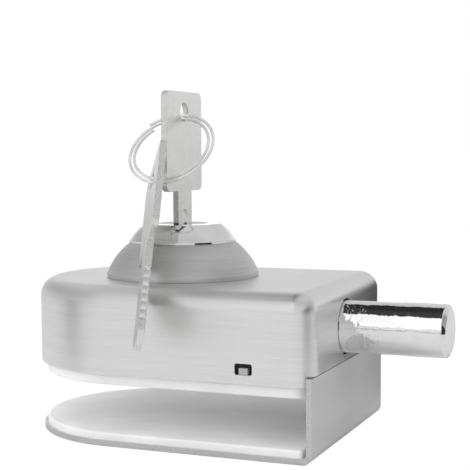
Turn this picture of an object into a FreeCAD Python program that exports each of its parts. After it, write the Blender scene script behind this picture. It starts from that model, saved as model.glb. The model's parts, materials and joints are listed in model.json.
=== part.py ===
import FreeCAD, Part
import math
import os
import re
import Sketcher

# Glass door lock. The frame stands on the cylinder's axis: origin where that axis meets the underside of the
# lower plate, +X along the bolt towards its tip, +Y from the front of the lock to its back, +Z up.

V = FreeCAD.Vector
X_AXIS = V(1, 0, 0)
Y_AXIS = V(0, 1, 0)
Z_AXIS = V(0, 0, 1)

# Driving dimensions, in millimetres and degrees.
SIZES = {
    # Clamp bracket and the pads that grip the glass
    "plate_length": 84, "plate_width": 60, "sheet": 1.4, "bend_inner": 1.0, "axis_to_web": 46,
    "lower_pad": 1.8, "upper_pad": 2.8, "glass_gap": 12, "pad_inset": 0.85, "pad_round": 0.6,
    "pad_end_gap": 0.3, "clamp_plate": 0.9, "clamp_plate_inset": 0.3, "plate_corner": 4,
    # Cover
    "cover_height": 21.8, "cover_wall": 1.2, "cover_overhang": 0.5, "cover_corner": 5.2,
    "cover_edge": 4.6, "mouth_gap": 0.3, "seam_gap": 0.1, "window_width": 4.4, "window_height": 2.7,
    "window_to_web": 16.7,
    # Bolt and its guide
    "bolt_radius": 6.5, "bolt_offset": 3, "bolt_rise": 8.6, "bolt_reach": 26.3, "bolt_tail": 15.5,
    "bolt_chamfer": 0.8, "bolt_play": 0.05, "bolt_hole_gap": 0.5, "shank_step": 0.2, "shank_showing": 0.1,
    "bush_wall": 0.85, "guide_length": 15, "guide_to_web": 4, "guide_wall": 1.9, "guide_ear": 5.5,
    "guide_ear_thick": 2.5, "guide_screw_inset": 3.6,
    # Rack and pinion
    "pitch_radius": 7, "pinion_teeth": 14, "rack_teeth": 9, "pressure_angle": 20, "rack_addendum": 0.8,
    "pinion_addendum": 1, "root_clearance": 0.25, "backlash": 0.12, "pinion_height": 4.3,
    "hub_radius": 5.2, "hub_height": 2, "hub_pin_radius": 0.6, "rack_floor": 2, "rack_back": 3.85,
    "rack_gap": 0.1, "rack_lid_gap": 0.3, "pinion_gap": 0.5, "tongue_width": 6.8, "rivet_radius": 1,
    "rivet_spacing": 5, "rivet_inset": 3, "stop_gap": 0.3, "rail_floor": 3, "rail_wall": 3.2,
    "rail_end": 2, "rail_height": 6.6, "rail_right": 17.5, "rail_back": 6, "rail_screw_inset": 4.6,
    # Lock cylinder
    "cylinder_radius": 11, "neck_radius": 7.8, "neck_height": 1.9, "head_radius": 9.6, "head_height": 3.6,
    "cylinder_bottom": 33.9, "plug_radius": 6.3, "plug_play": 0.05, "flange_radius": 7.5,
    "flange_height": 1.5, "flange_gap": 0.2, "clip_height": 0.7, "clip_depth": 1, "clip_gap": 0.05,
    "clip_opening": 4, "plug_foot": 0.7, "tail_radius": 3.4, "keyway_play": 0.1, "pin_radius": 0.75,
    "pin_play": 0.05, "pin_spacing": 2.2, "pin_count": 4, "first_pin": 1.3, "driver_length": 2,
    "sleeve_wall": 0.55, "sleeve_gap": 0.03, "nut_height": 2.6, "nut_wall": 4, "nut_slot": 3,
    "cover_hole_gap": 0.3,
    # Dome and collar
    "dome_radius": 20, "dome_lip": 1.1, "dome_rise": 9, "dome_shoulder": 14.1, "dome_wall": 1.2,
    "dome_curve": 17.5, "dome_hole_gap": 0.3, "collar_rise": 4.9, "collar_band": 0.7, "collar_top": 10.2,
    "collar_curve": 13, "collar_mouth_gap": 0.3,
    # Keys and ring
    "key_thick": 1.6, "bow_width": 21.8, "bow_height": 26, "bow_corner": 1.8, "key_hole": 2.3,
    "hole_down": 5.3, "blade_width": 8.4, "blade_showing": 8.5, "blade_foot": 1.75, "blade_point": 2.4,
    "dimple_radius": 1.1, "dimple_depth": 0.35, "dimple_spacing": 3.4, "ring_wire": 0.8,
    "ring_first": 9.96, "ring_step": 0.62, "ring_lean_angle": 42.4, "ring_seat_angle": 15,
    "ring_clear": 0.1, "ring_opening_angle": 135, "spare_yaw_angle": 39, "spare_lean_angle": 37.5,
    "spare_roll_angle": 13.2, "spare_left": 0.8, "spare_front": 14.55, "spare_drop": 17.5,
    # Clamp screws and their nuts
    "clamp_radius": 2.5, "clamp_flats": 8, "clamp_nut": 4, "clamp_length": 10, "clamp_left": 8,
    "clamp_right": 34, "thread_gap": 0.05,
    # How far cutting shapes run past a face
    "past": 1,
    # Small screws
    "small_screw": 1.5, "small_head": 2.6, "small_head_height": 1.6, "small_socket": 1.2,
    "small_socket_floor": 0.55, "hole_gap": 0.1,
    # Cover catch
    "catch_body": 5.2, "catch_share": 0.421, "catch_height": 3.6, "nib_width": 2.2, "nib_height": 1.5,
    "catch_gap": 0.1, "catch_travel": 1.5, "catch_shoulder_gap": 0.3, "catch_wall": 1.4,
    "catch_guide_gap": 2, "catch_stem": 0.7, "catch_screw_gap": 0.2, "catch_ear_gap": 0.5, "catch_ear_depth": 6,
    "catch_ear_thick": 1.2, "catch_wire": 0.4, "catch_coil": 1.3, "catch_turns": 4.5, "pin_wire": 0.22,
    "pin_coil": 0.5, "pin_turns": 3,
}

# Sizes that follow from the driving ones.
DERIVED = {
    "half_width": "plate_width / 2",
    "arc_x": "axis_to_web - plate_length + half_width",
    "bend_outer": "bend_inner + sheet",
    "pad_top": "sheet + lower_pad",
    "slot_top": "pad_top + glass_gap",
    "rim": "slot_top + upper_pad",
    "plate_low": "rim + clamp_plate",
    "plate_top": "plate_low + sheet",
    "cover_top": "rim + cover_height",
    "cover_ceiling": "cover_top - cover_wall",
    "mouth_inset": "cover_wall - cover_overhang + mouth_gap",
    "bolt_z": "plate_top + bolt_rise",
    "shank_radius": "bolt_radius + shank_step",
    "bush_radius": "shank_radius + bolt_play + bush_wall",
    "guide_right": "axis_to_web - guide_to_web",
    "guide_left": "guide_right - guide_length",
    "guide_half": "bush_radius + guide_wall",
    "bolt_rear": "axis_to_web - bolt_tail",
    "gear_module": "2 * pitch_radius / pinion_teeth",
    "travel": "pi * pitch_radius",
    "rack_low": "plate_top + rail_floor + rack_gap",
    "rack_shelf": "rack_low + rack_floor",
    "pinion_low": "rack_shelf + pinion_gap",
    "pinion_top": "pinion_low + pinion_height",
    "rack_root": "pitch_radius + pinion_addendum + root_clearance",
    "rack_outside": "rack_root + rack_back",
    "rail_front": "rack_outside + rack_gap + rail_wall",
    "rack_left": "pi * gear_module / 2 + gear_module * 2",
    "rail_left": "rack_left + travel + stop_gap + rail_end",
    "tongue_end": "bolt_rear + rivet_spacing + 2 * rivet_inset",
    "neck_top": "cylinder_bottom + neck_height",
    "clip_top": "cylinder_bottom - clip_gap",
    "clip_low": "clip_top - clip_height",
    "plug_bottom": "clip_low - plug_foot",
    "dome_top": "cover_top + dome_rise",
    "collar_peak": "dome_top + collar_rise",
    "head_top": "dome_top + head_height",
    "flange_top": "head_top - flange_gap",
    "flange_low": "flange_top - flange_height",
    "plug_top": "collar_peak - flange_gap",
    "shoulder": "collar_peak + blade_showing",
    "key_tip": "plug_bottom + blade_foot",
    "blade_length": "shoulder - key_tip",
    "hole_height": "bow_height - hole_down",
    "catch_x": "axis_to_web - window_to_web",
    "wall_inside": "half_width + cover_overhang - cover_wall",
    "clamp_y": "(rail_front + wall_inside) / 2",
    "catch_front": "wall_inside - catch_shoulder_gap",
    "guide_front": "bolt_offset + guide_half + guide_ear",
    "catch_span": "catch_front - guide_front - catch_guide_gap - catch_wall",
    "catch_room": "catch_span * (1 - catch_share)",
    "catch_back": "catch_front - catch_span * catch_share",
    "catch_z": "plate_top + catch_gap + catch_height / 2",
    "catch_half": "catch_body / 2 + catch_gap + catch_wall",
    "catch_ear_front": "wall_inside - catch_ear_gap",
    "catch_screw_x": "catch_half + catch_screw_gap + small_head",
}

doc = FreeCAD.newDocument("GlassDoorLock")
sheet = doc.addObject("Spreadsheet::Sheet", "Sizes")
for row, (alias, number) in enumerate(SIZES.items(), 1):
    sheet.set(f"A{row}", alias)
    sheet.set(f"B{row}", str(number))
    sheet.setAlias(f"B{row}", alias)
doc.recompute()

nodes = []


def ex(text):
    """Writes a formula over size names as one that reads the sheet."""
    def swap(match):
        word = match.group(0)
        if word in DERIVED:
            return "(" + ex(DERIVED[word]) + ")"
        return f"Sizes.{word}" if word in SIZES else word
    return re.sub(r"[a-z_]+", swap, str(text))


def value(text):
    """The number that a formula over size names gives."""
    return float(sheet.evalExpression(ex(text)))


def bind(obj, **formulas):
    """Binds properties of an object, with dots written as two underscores."""
    for name, text in formulas.items():
        obj.setExpression(name.replace("__", "."), ex(text))
    return obj


def place(obj, x="0", y="0", z="0"):
    return bind(obj, Placement__Base__x=x, Placement__Base__y=y, Placement__Base__z=z)


def node(obj, label):
    """Names a finished sub-part, which makes it one of the exported nodes."""
    obj.Label = label
    nodes.append(obj)
    return obj


# Building blocks

def new_body(name):
    return doc.addObject("PartDesign::Body", name)


def new_sketch(body, plane, name="outline"):
    sketch = body.newObject("Sketcher::SketchObject", name)
    support = next(f for f in body.Origin.OriginFeatures if f.Role == plane)
    sketch.AttachmentSupport = [(support, "")]
    sketch.MapMode = "FlatFace"
    return sketch


def pin_point(sketch, geometry, end, x, y):
    """Fixes one point of a sketch at a place given by two formulas."""
    for kind, text, axis in (("DistanceX", x, -2), ("DistanceY", y, -1)):
        number = value(text)
        if abs(number) < 1e-9:
            sketch.addConstraint(Sketcher.Constraint("PointOnObject", geometry, end, axis))
        else:
            index = sketch.addConstraint(Sketcher.Constraint(kind, -1, 1, geometry, end, number))
            sketch.setExpression(f"Constraints[{index}]", ex(text))


def draw_path(sketch, points, rounds=()):
    """Closes a path through points. A side whose number is in rounds is an arc: number, (radius, ccw)."""
    rounds = dict(rounds)
    spots = [V(value(x), value(y), 0) for x, y in points]
    count = len(points)
    first = sketch.GeometryCount
    ends = []
    for i, start in enumerate(spots):
        stop = spots[(i + 1) % count]
        if i in rounds:
            radius, ccw = rounds[i]
            chord = stop - start
            rise = math.sqrt(max(value(radius) ** 2 - chord.Length ** 2 / 4, 0))
            side = V(-chord.y, chord.x, 0).normalize() * (rise if ccw else -rise)
            centre = start + chord / 2 + side
            a = math.atan2(start.y - centre.y, start.x - centre.x)
            b = math.atan2(stop.y - centre.y, stop.x - centre.x)
            circle = Part.Circle(centre, Z_AXIS, value(radius))
            sketch.addGeometry(Part.ArcOfCircle(circle, a, b) if ccw else Part.ArcOfCircle(circle, b, a), False)
            ends.append((1, 2) if ccw else (2, 1))
        else:
            sketch.addGeometry(Part.LineSegment(start, stop), False)
            ends.append((1, 2))
    for i in range(count):
        j = (i + 1) % count
        sketch.addConstraint(Sketcher.Constraint("Coincident", first + i, ends[i][1], first + j, ends[j][0]))
    for i, (x, y) in enumerate(points):
        pin_point(sketch, first + i, ends[i][0], x, y)
    for i, (radius, _) in rounds.items():
        if spots[i].x == spots[(i + 1) % count].x:
            # A half round: its centre stays on the line between its ends.
            index = sketch.addConstraint(Sketcher.Constraint("DistanceX", -1, 1, first + i, 3, spots[i].x))
            sketch.setExpression(f"Constraints[{index}]", ex(points[i][0]))
        else:
            index = sketch.addConstraint(Sketcher.Constraint("Radius", first + i, value(radius)))
            sketch.setExpression(f"Constraints[{index}]", ex(radius))
    return sketch


def draw_circle(sketch, x, y, radius):
    index = sketch.addGeometry(Part.Circle(V(value(x), value(y), 0), Z_AXIS, value(radius)), False)
    size = sketch.addConstraint(Sketcher.Constraint("Radius", index, value(radius)))
    sketch.setExpression(f"Constraints[{size}]", ex(radius))
    pin_point(sketch, index, 3, x, y)
    return sketch


def add_pad(body, sketch, length, middle=False):
    pad = body.newObject("PartDesign::Pad", "pad")
    pad.Profile = sketch
    pad.Midplane = middle
    return bind(pad, Length=length)


def round_edges(body, base, radius, chosen, name="round"):
    """Rounds the edges of a feature that a test picks."""
    doc.recompute()
    picked = [f"Edge{i}" for i, edge in enumerate(base.Shape.Edges, 1) if chosen(edge)]
    fillet = body.newObject("PartDesign::Fillet", name)
    fillet.Base = (base, picked)
    return bind(fillet, Radius=radius)


def turned(name, points, rounds=()):
    """A body of revolution about +Z, from a profile of radius and height."""
    body = new_body(name)
    sketch = draw_path(new_sketch(body, "XZ_Plane", "profile"), points, rounds)
    spin = body.newObject("PartDesign::Revolution", "turn")
    spin.Profile = sketch
    spin.ReferenceAxis = (sketch, ["V_Axis"])
    spin.Angle = 360
    return body


def block(name, x, y, z):
    """A box between pairs of formulas."""
    box = bind(doc.addObject("Part::Box", name), Length=f"({x[1]}) - ({x[0]})", Width=f"({y[1]}) - ({y[0]})",
               Height=f"({z[1]}) - ({z[0]})")
    return place(box, x[0], y[0], z[0])


TURNS = {"x": FreeCAD.Rotation(Y_AXIS, 90), "y": FreeCAD.Rotation(X_AXIS, -90), "z": FreeCAD.Rotation()}


def rod(name, axis, centre, radius, low, high):
    """A cylinder along an axis, with its centre line at two formulas and its ends at two more."""
    bar = bind(doc.addObject("Part::Cylinder", name), Radius=radius, Height=f"({high}) - ({low})")
    bar.Placement = FreeCAD.Placement(V(), TURNS[axis])
    spot = {"x": (low, *centre), "y": (centre[0], low, centre[1]), "z": (*centre, low)}[axis]
    return place(bar, *spot)


def hexagon(name, x, y, flats, low, high):
    """A six-sided prism along +Z, given its width across flats."""
    prism = doc.addObject("Part::Prism", name)
    prism.Polygon = 6
    bind(prism, Circumradius=f"({flats}) / sqrt(3)", Height=f"({high}) - ({low})")
    return place(prism, x, y, low)


def fuse(name, *shapes):
    whole = doc.addObject("Part::MultiFuse", name)
    whole.Shapes = list(shapes)
    whole.Refine = True
    return whole


def cut(name, base, *tools):
    tool = tools[0] if len(tools) == 1 else fuse(name + "_tools", *tools)
    rest = doc.addObject("Part::Cut", name)
    rest.Base = base
    rest.Tool = tool
    rest.Refine = True
    return rest


def group(name, members):
    """Separate solids that share a node."""
    bundle = doc.addObject("Part::Compound", name)
    bundle.Links = members
    return bundle


def d_plate(name, inset, right, low, high, corner=None):
    """A plate with a straight right end and a half-round left end, inset from the bracket's outline."""
    body = new_body(name)
    y = f"half_width - ({inset})"
    if corner:
        front = [(f"{right} - {corner}", f"-({y})"), (right, f"{corner} - ({y})")]
    else:
        front = [(right, f"-({y})")]
    back = [(px, f"-({py})") for px, py in reversed(front)]
    points = [("arc_x", f"-({y})"), *front, *back, ("arc_x", y)]
    sketch = draw_path(new_sketch(body, "XY_Plane"), points, {len(points) - 1: (y, True)})
    pad = add_pad(body, sketch, f"({high}) - ({low})")
    place(body, z=low)
    return body, pad


def cover_block(name, inset, corner, low, high, edge):
    """The cover's outer or inner form: rounded right corners, half-round left end and a rounded top edge."""
    body = new_body(name)
    y = f"half_width + cover_overhang - ({inset})"
    right = f"axis_to_web - ({inset})"
    points = [("arc_x", f"-({y})"), (f"{right} - ({corner})", f"-({y})"), (right, f"{corner} - ({y})"),
              (right, f"{y} - ({corner})"), (f"{right} - ({corner})", y), ("arc_x", y)]
    rounds = {1: (corner, True), 3: (corner, True), 5: (y, True)}
    sketch = draw_path(new_sketch(body, "XY_Plane"), points, rounds)
    height = f"({high}) - ({low})"
    pad = add_pad(body, sketch, height)
    top = value(height)
    round_edges(body, pad, edge, lambda side: side.BoundBox.ZMin > top - 1e-6)
    return place(body, z=low)


def screw(name, x, y, seat, tip):
    """A socket head screw that points down."""
    shank = rod(name + "_shank", "z", (x, y), "small_screw", tip, seat)
    cap = rod(name + "_head", "z", (x, y), "small_head", seat, f"{seat} + small_head_height")
    socket = hexagon(name + "_socket", x, y, "2 * small_socket", f"{seat} + small_socket_floor",
                     f"{seat} + small_head_height + past")
    return cut(name, fuse(name + "_blank", shank, cap), socket)


def small_screws(label, places, seat, tip):
    screws = [screw(f"{label}_{i}", x, y, seat, tip) for i, (x, y) in enumerate(places, 1)]
    return node(group(label, screws), label)


def spring(label, starts, direction, length, coil, wire, turns):
    """Coil springs, each one tube along quarter-turn arcs, with the wire's ends left open."""
    pitch = (length - wire) / turns
    gap = pitch - wire
    print(f"{label}: least gap between turns {gap:.2f} mm")
    along = V(direction)
    side = V(0, 0, 1) if abs(along.z) < 0.5 else V(1, 0, 0)
    other = along.cross(side)

    def point(start, turn):
        angle = 2 * math.pi * turn
        across = side * (coil * math.cos(angle)) + other * (coil * math.sin(angle))
        return start + across + along * (wire / 2 + pitch * turn)

    solids = []
    for start in starts:
        arcs = []
        for quarter in range(round(turns * 4)):
            spots = [point(start, (quarter + part) / 4) for part in (0, 0.5, 1)]
            arcs.append(Part.Arc(*spots).toShape())
        path = Part.Wire(arcs)
        tangent = point(start, 0.001) - point(start, 0)
        section = Part.Wire(Part.Circle(point(start, 0), tangent, wire / 2).toShape())
        solids.append(path.makePipeShell([section], True, False))
    coils = doc.addObject("Part::Feature", label)
    coils.Shape = solids[0] if len(solids) == 1 else Part.makeCompound(solids)
    return node(coils, label)


# Where the fasteners stand, each as a pair of formulas
CLAMPS = [(x, f"0 {side} clamp_y")
          for x in ("axis_to_web - clamp_right", "arc_x - clamp_left") for side in "+-"]
GUIDE_SCREWS = [(x, f"0 - bolt_offset {side} (guide_half + guide_ear / 2)")
                for x in ("guide_left + guide_screw_inset", "guide_right - guide_screw_inset") for side in "+-"]
RAIL_SCREWS = [("rail_screw_inset - rail_left", "rail_back - small_head"),
               ("rail_right - rail_screw_inset", "rail_back - small_head")]
CATCH_SCREWS = [(f"catch_x {side} catch_screw_x", "catch_ear_depth / 2 - catch_ear_front") for side in "+-"]
RIVETS = [(f"bolt_rear + rivet_inset{step}", "0 - bolt_offset") for step in ("", " + rivet_spacing")]
PIN_HEIGHTS = [f"cover_top + first_pin + {i} * pin_spacing" for i in range(SIZES["pin_count"])]


def make_bracket():
    lower = d_plate("lower_plate", "0", "axis_to_web - bend_outer", "0", "sheet")[0]
    upper = d_plate("upper_plate", "mouth_inset", "axis_to_web - sheet / 2", "plate_low", "plate_top",
                    "plate_corner")[0]
    web = new_body("web")
    points = [("axis_to_web - bend_outer", "0"), ("axis_to_web", "bend_outer"), ("axis_to_web", "plate_top"),
              ("axis_to_web - sheet", "plate_top"), ("axis_to_web - sheet", "bend_outer"),
              ("axis_to_web - bend_outer", "sheet")]
    sketch = draw_path(new_sketch(web, "XZ_Plane"), points, {0: ("bend_outer", True), 4: ("bend_inner", False)})
    add_pad(web, sketch, "plate_width", middle=True)
    spots = [(x, y, "clamp_radius + hole_gap") for x, y in CLAMPS]
    spots += [(x, y, "small_screw + hole_gap") for x, y in GUIDE_SCREWS + RAIL_SCREWS + CATCH_SCREWS]
    holes = [rod(f"plate_hole_{i}", "z", (x, y), radius, "plate_low - past", "plate_top + past")
             for i, (x, y, radius) in enumerate(spots, 1)]
    node(cut("clamp_bracket", fuse("bent_sheet", lower, upper, web), *holes), "clamp_bracket")


def make_pads():
    body, pad = d_plate("lower_pad", "pad_inset", "axis_to_web - bend_outer - pad_end_gap", "sheet", "pad_top")
    round_edges(body, pad, "pad_round", lambda edge: edge.BoundBox.ZMin > value("lower_pad") - 1e-6)
    node(body, "lower_pad")
    right = "axis_to_web - sheet - pad_end_gap"
    body, pad = d_plate("upper_pad", "mouth_inset", right, "slot_top", "rim", "plate_corner")
    round_edges(body, pad, "pad_round", lambda edge: edge.BoundBox.ZMax < 1e-6)
    node(body, "upper_pad")
    inset = "mouth_inset + clamp_plate_inset"
    node(d_plate("pressure_plate", inset, right, "rim", "plate_low", "plate_corner")[0], "pressure_plate")


def make_clamps():
    screws = []
    nuts = []
    for i, (x, y) in enumerate(CLAMPS, 1):
        nut = hexagon(f"nut_{i}", x, y, "clamp_flats", "plate_top", "plate_top + clamp_nut")
        bore = rod(f"nut_bore_{i}", "z", (x, y), "clamp_radius + thread_gap", "plate_top - past",
                   "plate_top + clamp_nut + past")
        nuts.append(cut(f"clamp_nut_{i}", nut, bore))
        stem = rod(f"stem_{i}", "z", (x, y), "clamp_radius", "plate_low", "plate_low + clamp_length")
        socket = hexagon(f"key_socket_{i}", x, y, "clamp_radius", "plate_low + clamp_length - clamp_radius",
                         "plate_low + clamp_length + past")
        screws.append(cut(f"clamp_screw_{i}", stem, socket))
    node(group("clamp_nuts", nuts), "clamp_nuts")
    node(group("clamp_screws", screws), "clamp_screws")


def make_cover():
    outer = cover_block("cover_outer", "0", "cover_corner", "rim", "cover_top", "cover_edge")
    inner = cover_block("cover_inner", "cover_wall", "cover_corner - cover_wall", "rim - past", "cover_ceiling",
                        "cover_edge - cover_wall")
    shell = cut("cover_shell", outer, inner)
    notch = block("web_notch", ("axis_to_web - sheet - seam_gap", "axis_to_web + past"),
                  ("-half_width - past", "half_width + past"), ("rim - past", "plate_top + seam_gap"))
    window = block("catch_window", ("catch_x - window_width / 2", "catch_x + window_width / 2"),
                   ("-half_width - past", "past - wall_inside"), ("plate_top", "plate_top + window_height"))
    bolt_hole = rod("bolt_hole", "x", ("-bolt_offset", "bolt_z"), "bolt_radius + bolt_hole_gap",
                    "axis_to_web - 2 * cover_wall", "axis_to_web + past")
    top_hole = rod("cylinder_hole", "z", ("0", "0"), "cylinder_radius + cover_hole_gap", "cover_ceiling - past",
                   "cover_top + past")
    node(cut("cover", shell, notch, window, bolt_hole, top_hole), "cover")


def make_bolt_guide():
    x = ("guide_left", "guide_right")
    axis = ("0 - bolt_offset", "bolt_z")
    main = block("guide_block", x, ("0 - bolt_offset - guide_half", "guide_half - bolt_offset"),
                 ("plate_top", "bolt_z + guide_half"))
    ears = block("guide_ears", x, ("0 - guide_front", "guide_front - 2 * bolt_offset"),
                 ("plate_top", "plate_top + guide_ear_thick"))
    bore = rod("guide_bore", "x", axis, "bush_radius", "guide_left - past", "guide_right + past")
    holes = [rod(f"guide_hole_{i}", "z", spot, "small_screw + hole_gap", "plate_top - past",
                 "plate_top + guide_ear_thick + past") for i, spot in enumerate(GUIDE_SCREWS, 1)]
    node(cut("bolt_guide", fuse("guide_blank", main, ears), bore, *holes), "bolt_guide")
    small_screws("guide_screws", GUIDE_SCREWS, "plate_top + guide_ear_thick", "plate_low + thread_gap")

    tube = rod("bush_tube", "x", axis, "bush_radius", "guide_left", "guide_right")
    hole = rod("bush_bore", "x", axis, "shank_radius + bolt_play", "guide_left - past", "guide_right + past")
    node(cut("bolt_bush", tube, hole), "bolt_bush")


def make_bolt():
    body = new_body("bolt_bar")
    sketch = draw_circle(new_sketch(body, "YZ_Plane"), "0 - bolt_offset", "bolt_z", "bolt_radius")
    pad = add_pad(body, sketch, "bolt_reach + bolt_tail")
    doc.recompute()
    length = value("bolt_reach + bolt_tail")
    ends = [f"Edge{i}" for i, edge in enumerate(pad.Shape.Edges, 1) if edge.BoundBox.XMin > length - 1e-6]
    chamfer = body.newObject("PartDesign::Chamfer", "tip_chamfer")
    chamfer.Base = (pad, ends)
    bind(chamfer, Size="bolt_chamfer")
    place(body, x="bolt_rear")
    # The shank that runs in the guide is a little thicker, and its shoulder stands just outside the cover.
    shank = rod("bolt_shank", "x", ("0 - bolt_offset", "bolt_z"), "shank_radius", "bolt_rear",
                "axis_to_web + shank_showing")
    flat = block("bolt_flat", ("bolt_rear - past", "tongue_end + hole_gap"),
                 ("0 - bolt_offset - shank_radius - past", "shank_radius + past - bolt_offset"),
                 ("bolt_z - shank_radius - past", "rack_shelf"))
    holes = [rod(f"bolt_rivet_hole_{i}", "z", spot, "rivet_radius + thread_gap", "rack_low - past",
                 "bolt_z + hole_gap") for i, spot in enumerate(RIVETS, 1)]
    node(cut("bolt", fuse("bolt_blank", body, shank), flat, *holes), "bolt")
    rivets = [rod(f"rivet_{i}", "z", spot, "rivet_radius", "rack_low", "bolt_z")
              for i, spot in enumerate(RIVETS, 1)]
    node(group("rack_rivets", rivets), "rack_rivets")


def make_rack():
    body = new_body("rack_strip")
    left, right = "0 - rack_left", "guide_left - stop_gap"
    strip = draw_path(new_sketch(body, "XY_Plane", "strip"),
                      [(left, "0 - rack_outside"), (right, "0 - rack_outside"), (right, "0 - rack_root"),
                       (left, "0 - rack_root")])
    height = "pinion_top - rack_shelf - rack_lid_gap"
    add_pad(body, strip, height)
    # One tooth, half a pitch left of the pinion's axis, repeated to the right.
    centre = "0 - pi * gear_module / 2"
    half = "(pi * gear_module - backlash) / 4"
    root = f"({half} + (rack_root - pitch_radius) * tan(pressure_angle))"
    tip = f"({half} - rack_addendum * tan(pressure_angle))"
    tooth = draw_path(new_sketch(body, "XY_Plane", "tooth"),
                      [(f"{centre} - {root}", "0 - rack_root"), (f"{centre} + {root}", "0 - rack_root"),
                       (f"{centre} + {tip}", "rack_addendum - pitch_radius"),
                       (f"{centre} - {tip}", "rack_addendum - pitch_radius")])
    first = add_pad(body, tooth, height)
    row = body.newObject("PartDesign::LinearPattern", "teeth")
    row.Originals = [first]
    row.Direction = (tooth, ["H_Axis"])
    bind(row, Length="pi * gear_module * (rack_teeth - 1)", Occurrences="rack_teeth")
    body.Tip = row
    place(body, z="rack_shelf")

    front, back = "0 - bolt_offset - tongue_width / 2", "tongue_width / 2 - bolt_offset"
    base = block("rack_base", (left, right), ("0 - rack_outside", back), ("rack_low", "rack_shelf"))
    tongue = block("rack_tongue", (left, "tongue_end"), (front, back), ("rack_low", "rack_shelf"))
    holes = [rod(f"rack_rivet_hole_{i}", "z", spot, "rivet_radius + thread_gap", "rack_low - past",
                 "rack_shelf + past") for i, spot in enumerate(RIVETS, 1)]
    node(cut("rack", fuse("rack_blank", base, tongue, body), *holes), "rack")


def make_rail():
    inside, outside = "0 - rack_outside - rack_gap", "0 - rail_front"
    top = "plate_top + rail_floor + rail_height"
    floor = block("rail_floor_block", ("0 - rail_left", "rail_right"), (outside, "rail_back"),
                  ("plate_top", "plate_top + rail_floor"))
    wall = block("rail_wall_block", ("0 - rail_left", "rail_right"), (outside, inside), ("plate_top", top))
    # The rack stops against this end when the bolt is drawn in.
    end = block("rail_end_block", ("0 - rail_left", "rail_end - rail_left"), (outside, "0 - rack_root"),
                ("plate_top", top))
    holes = [rod(f"rail_hole_{i}", "z", spot, "small_screw + hole_gap", "plate_top - past",
                 "plate_top + rail_floor + past") for i, spot in enumerate(RAIL_SCREWS, 1)]
    node(cut("rack_rail", fuse("rail_blank", floor, wall, end), *holes), "rack_rail")
    small_screws("rail_screws", RAIL_SCREWS, "plate_top + rail_floor", "plate_low + thread_gap")


def involute(angle):
    return math.tan(angle) - angle


def pinion_edges():
    """The toothed outline: radial feet, involute flanks as three-point arcs, and round tips and roots."""
    count = int(value("pinion_teeth"))
    pressure = math.radians(value("pressure_angle"))
    pitch = value("pitch_radius")
    base = pitch * math.cos(pressure)
    tip = pitch + value("pinion_addendum")
    root = pitch - value("rack_addendum") - value("root_clearance")
    half = (math.pi * value("gear_module") - value("backlash")) / 4 / pitch + involute(pressure)

    def spot(radius, centre, side):
        spread = half - (involute(math.acos(base / radius)) if radius > base else 0)
        turn = centre + side * spread
        return V(radius * math.cos(turn), radius * math.sin(turn), 0)

    edges = []
    step = 2 * math.pi / count
    for i in range(count):
        centre = -math.pi / 2 + i * step
        middle = (base + tip) / 2
        foot, heel = spot(root, centre, -1), spot(base, centre, -1)
        edges.append(Part.LineSegment(foot, heel).toShape())
        edges.append(Part.Arc(heel, spot(middle, centre, -1), spot(tip, centre, -1)).toShape())
        crown = V(tip * math.cos(centre), tip * math.sin(centre), 0)
        edges.append(Part.Arc(spot(tip, centre, -1), crown, spot(tip, centre, 1)).toShape())
        edges.append(Part.Arc(spot(tip, centre, 1), spot(middle, centre, 1), spot(base, centre, 1)).toShape())
        edges.append(Part.LineSegment(spot(base, centre, 1), spot(root, centre, 1)).toShape())
        valley = centre + step / 2
        low = V(root * math.cos(valley), root * math.sin(valley), 0)
        edges.append(Part.Arc(spot(root, centre, 1), low, spot(root, centre + step, -1)).toShape())
    return edges


def make_pinion():
    toothed = doc.addObject("Part::Feature", "pinion_teeth_ring")
    toothed.Shape = Part.Face(Part.Wire(pinion_edges())).extrude(V(0, 0, value("pinion_height")))
    toothed.Placement.Base = V(0, 0, value("pinion_low"))
    hub = rod("pinion_hub", "z", ("0", "0"), "hub_radius", "pinion_top", "pinion_top + hub_height")
    bore = rod("pinion_bore", "z", ("0", "0"), "tail_radius", "pinion_low - past", "plug_bottom")
    cross = rod("hub_cross_hole", "x", ("0", "pinion_top + hub_height / 2"), "hub_pin_radius + thread_gap",
                "0 - hub_radius - past", "hub_radius + past")
    node(cut("pinion", fuse("pinion_blank", toothed, hub), bore, cross), "pinion")
    node(rod("hub_pin", "x", ("0", "pinion_top + hub_height / 2"), "hub_pin_radius", "hole_gap - hub_radius",
             "hub_radius - hole_gap"), "hub_pin")


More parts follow.
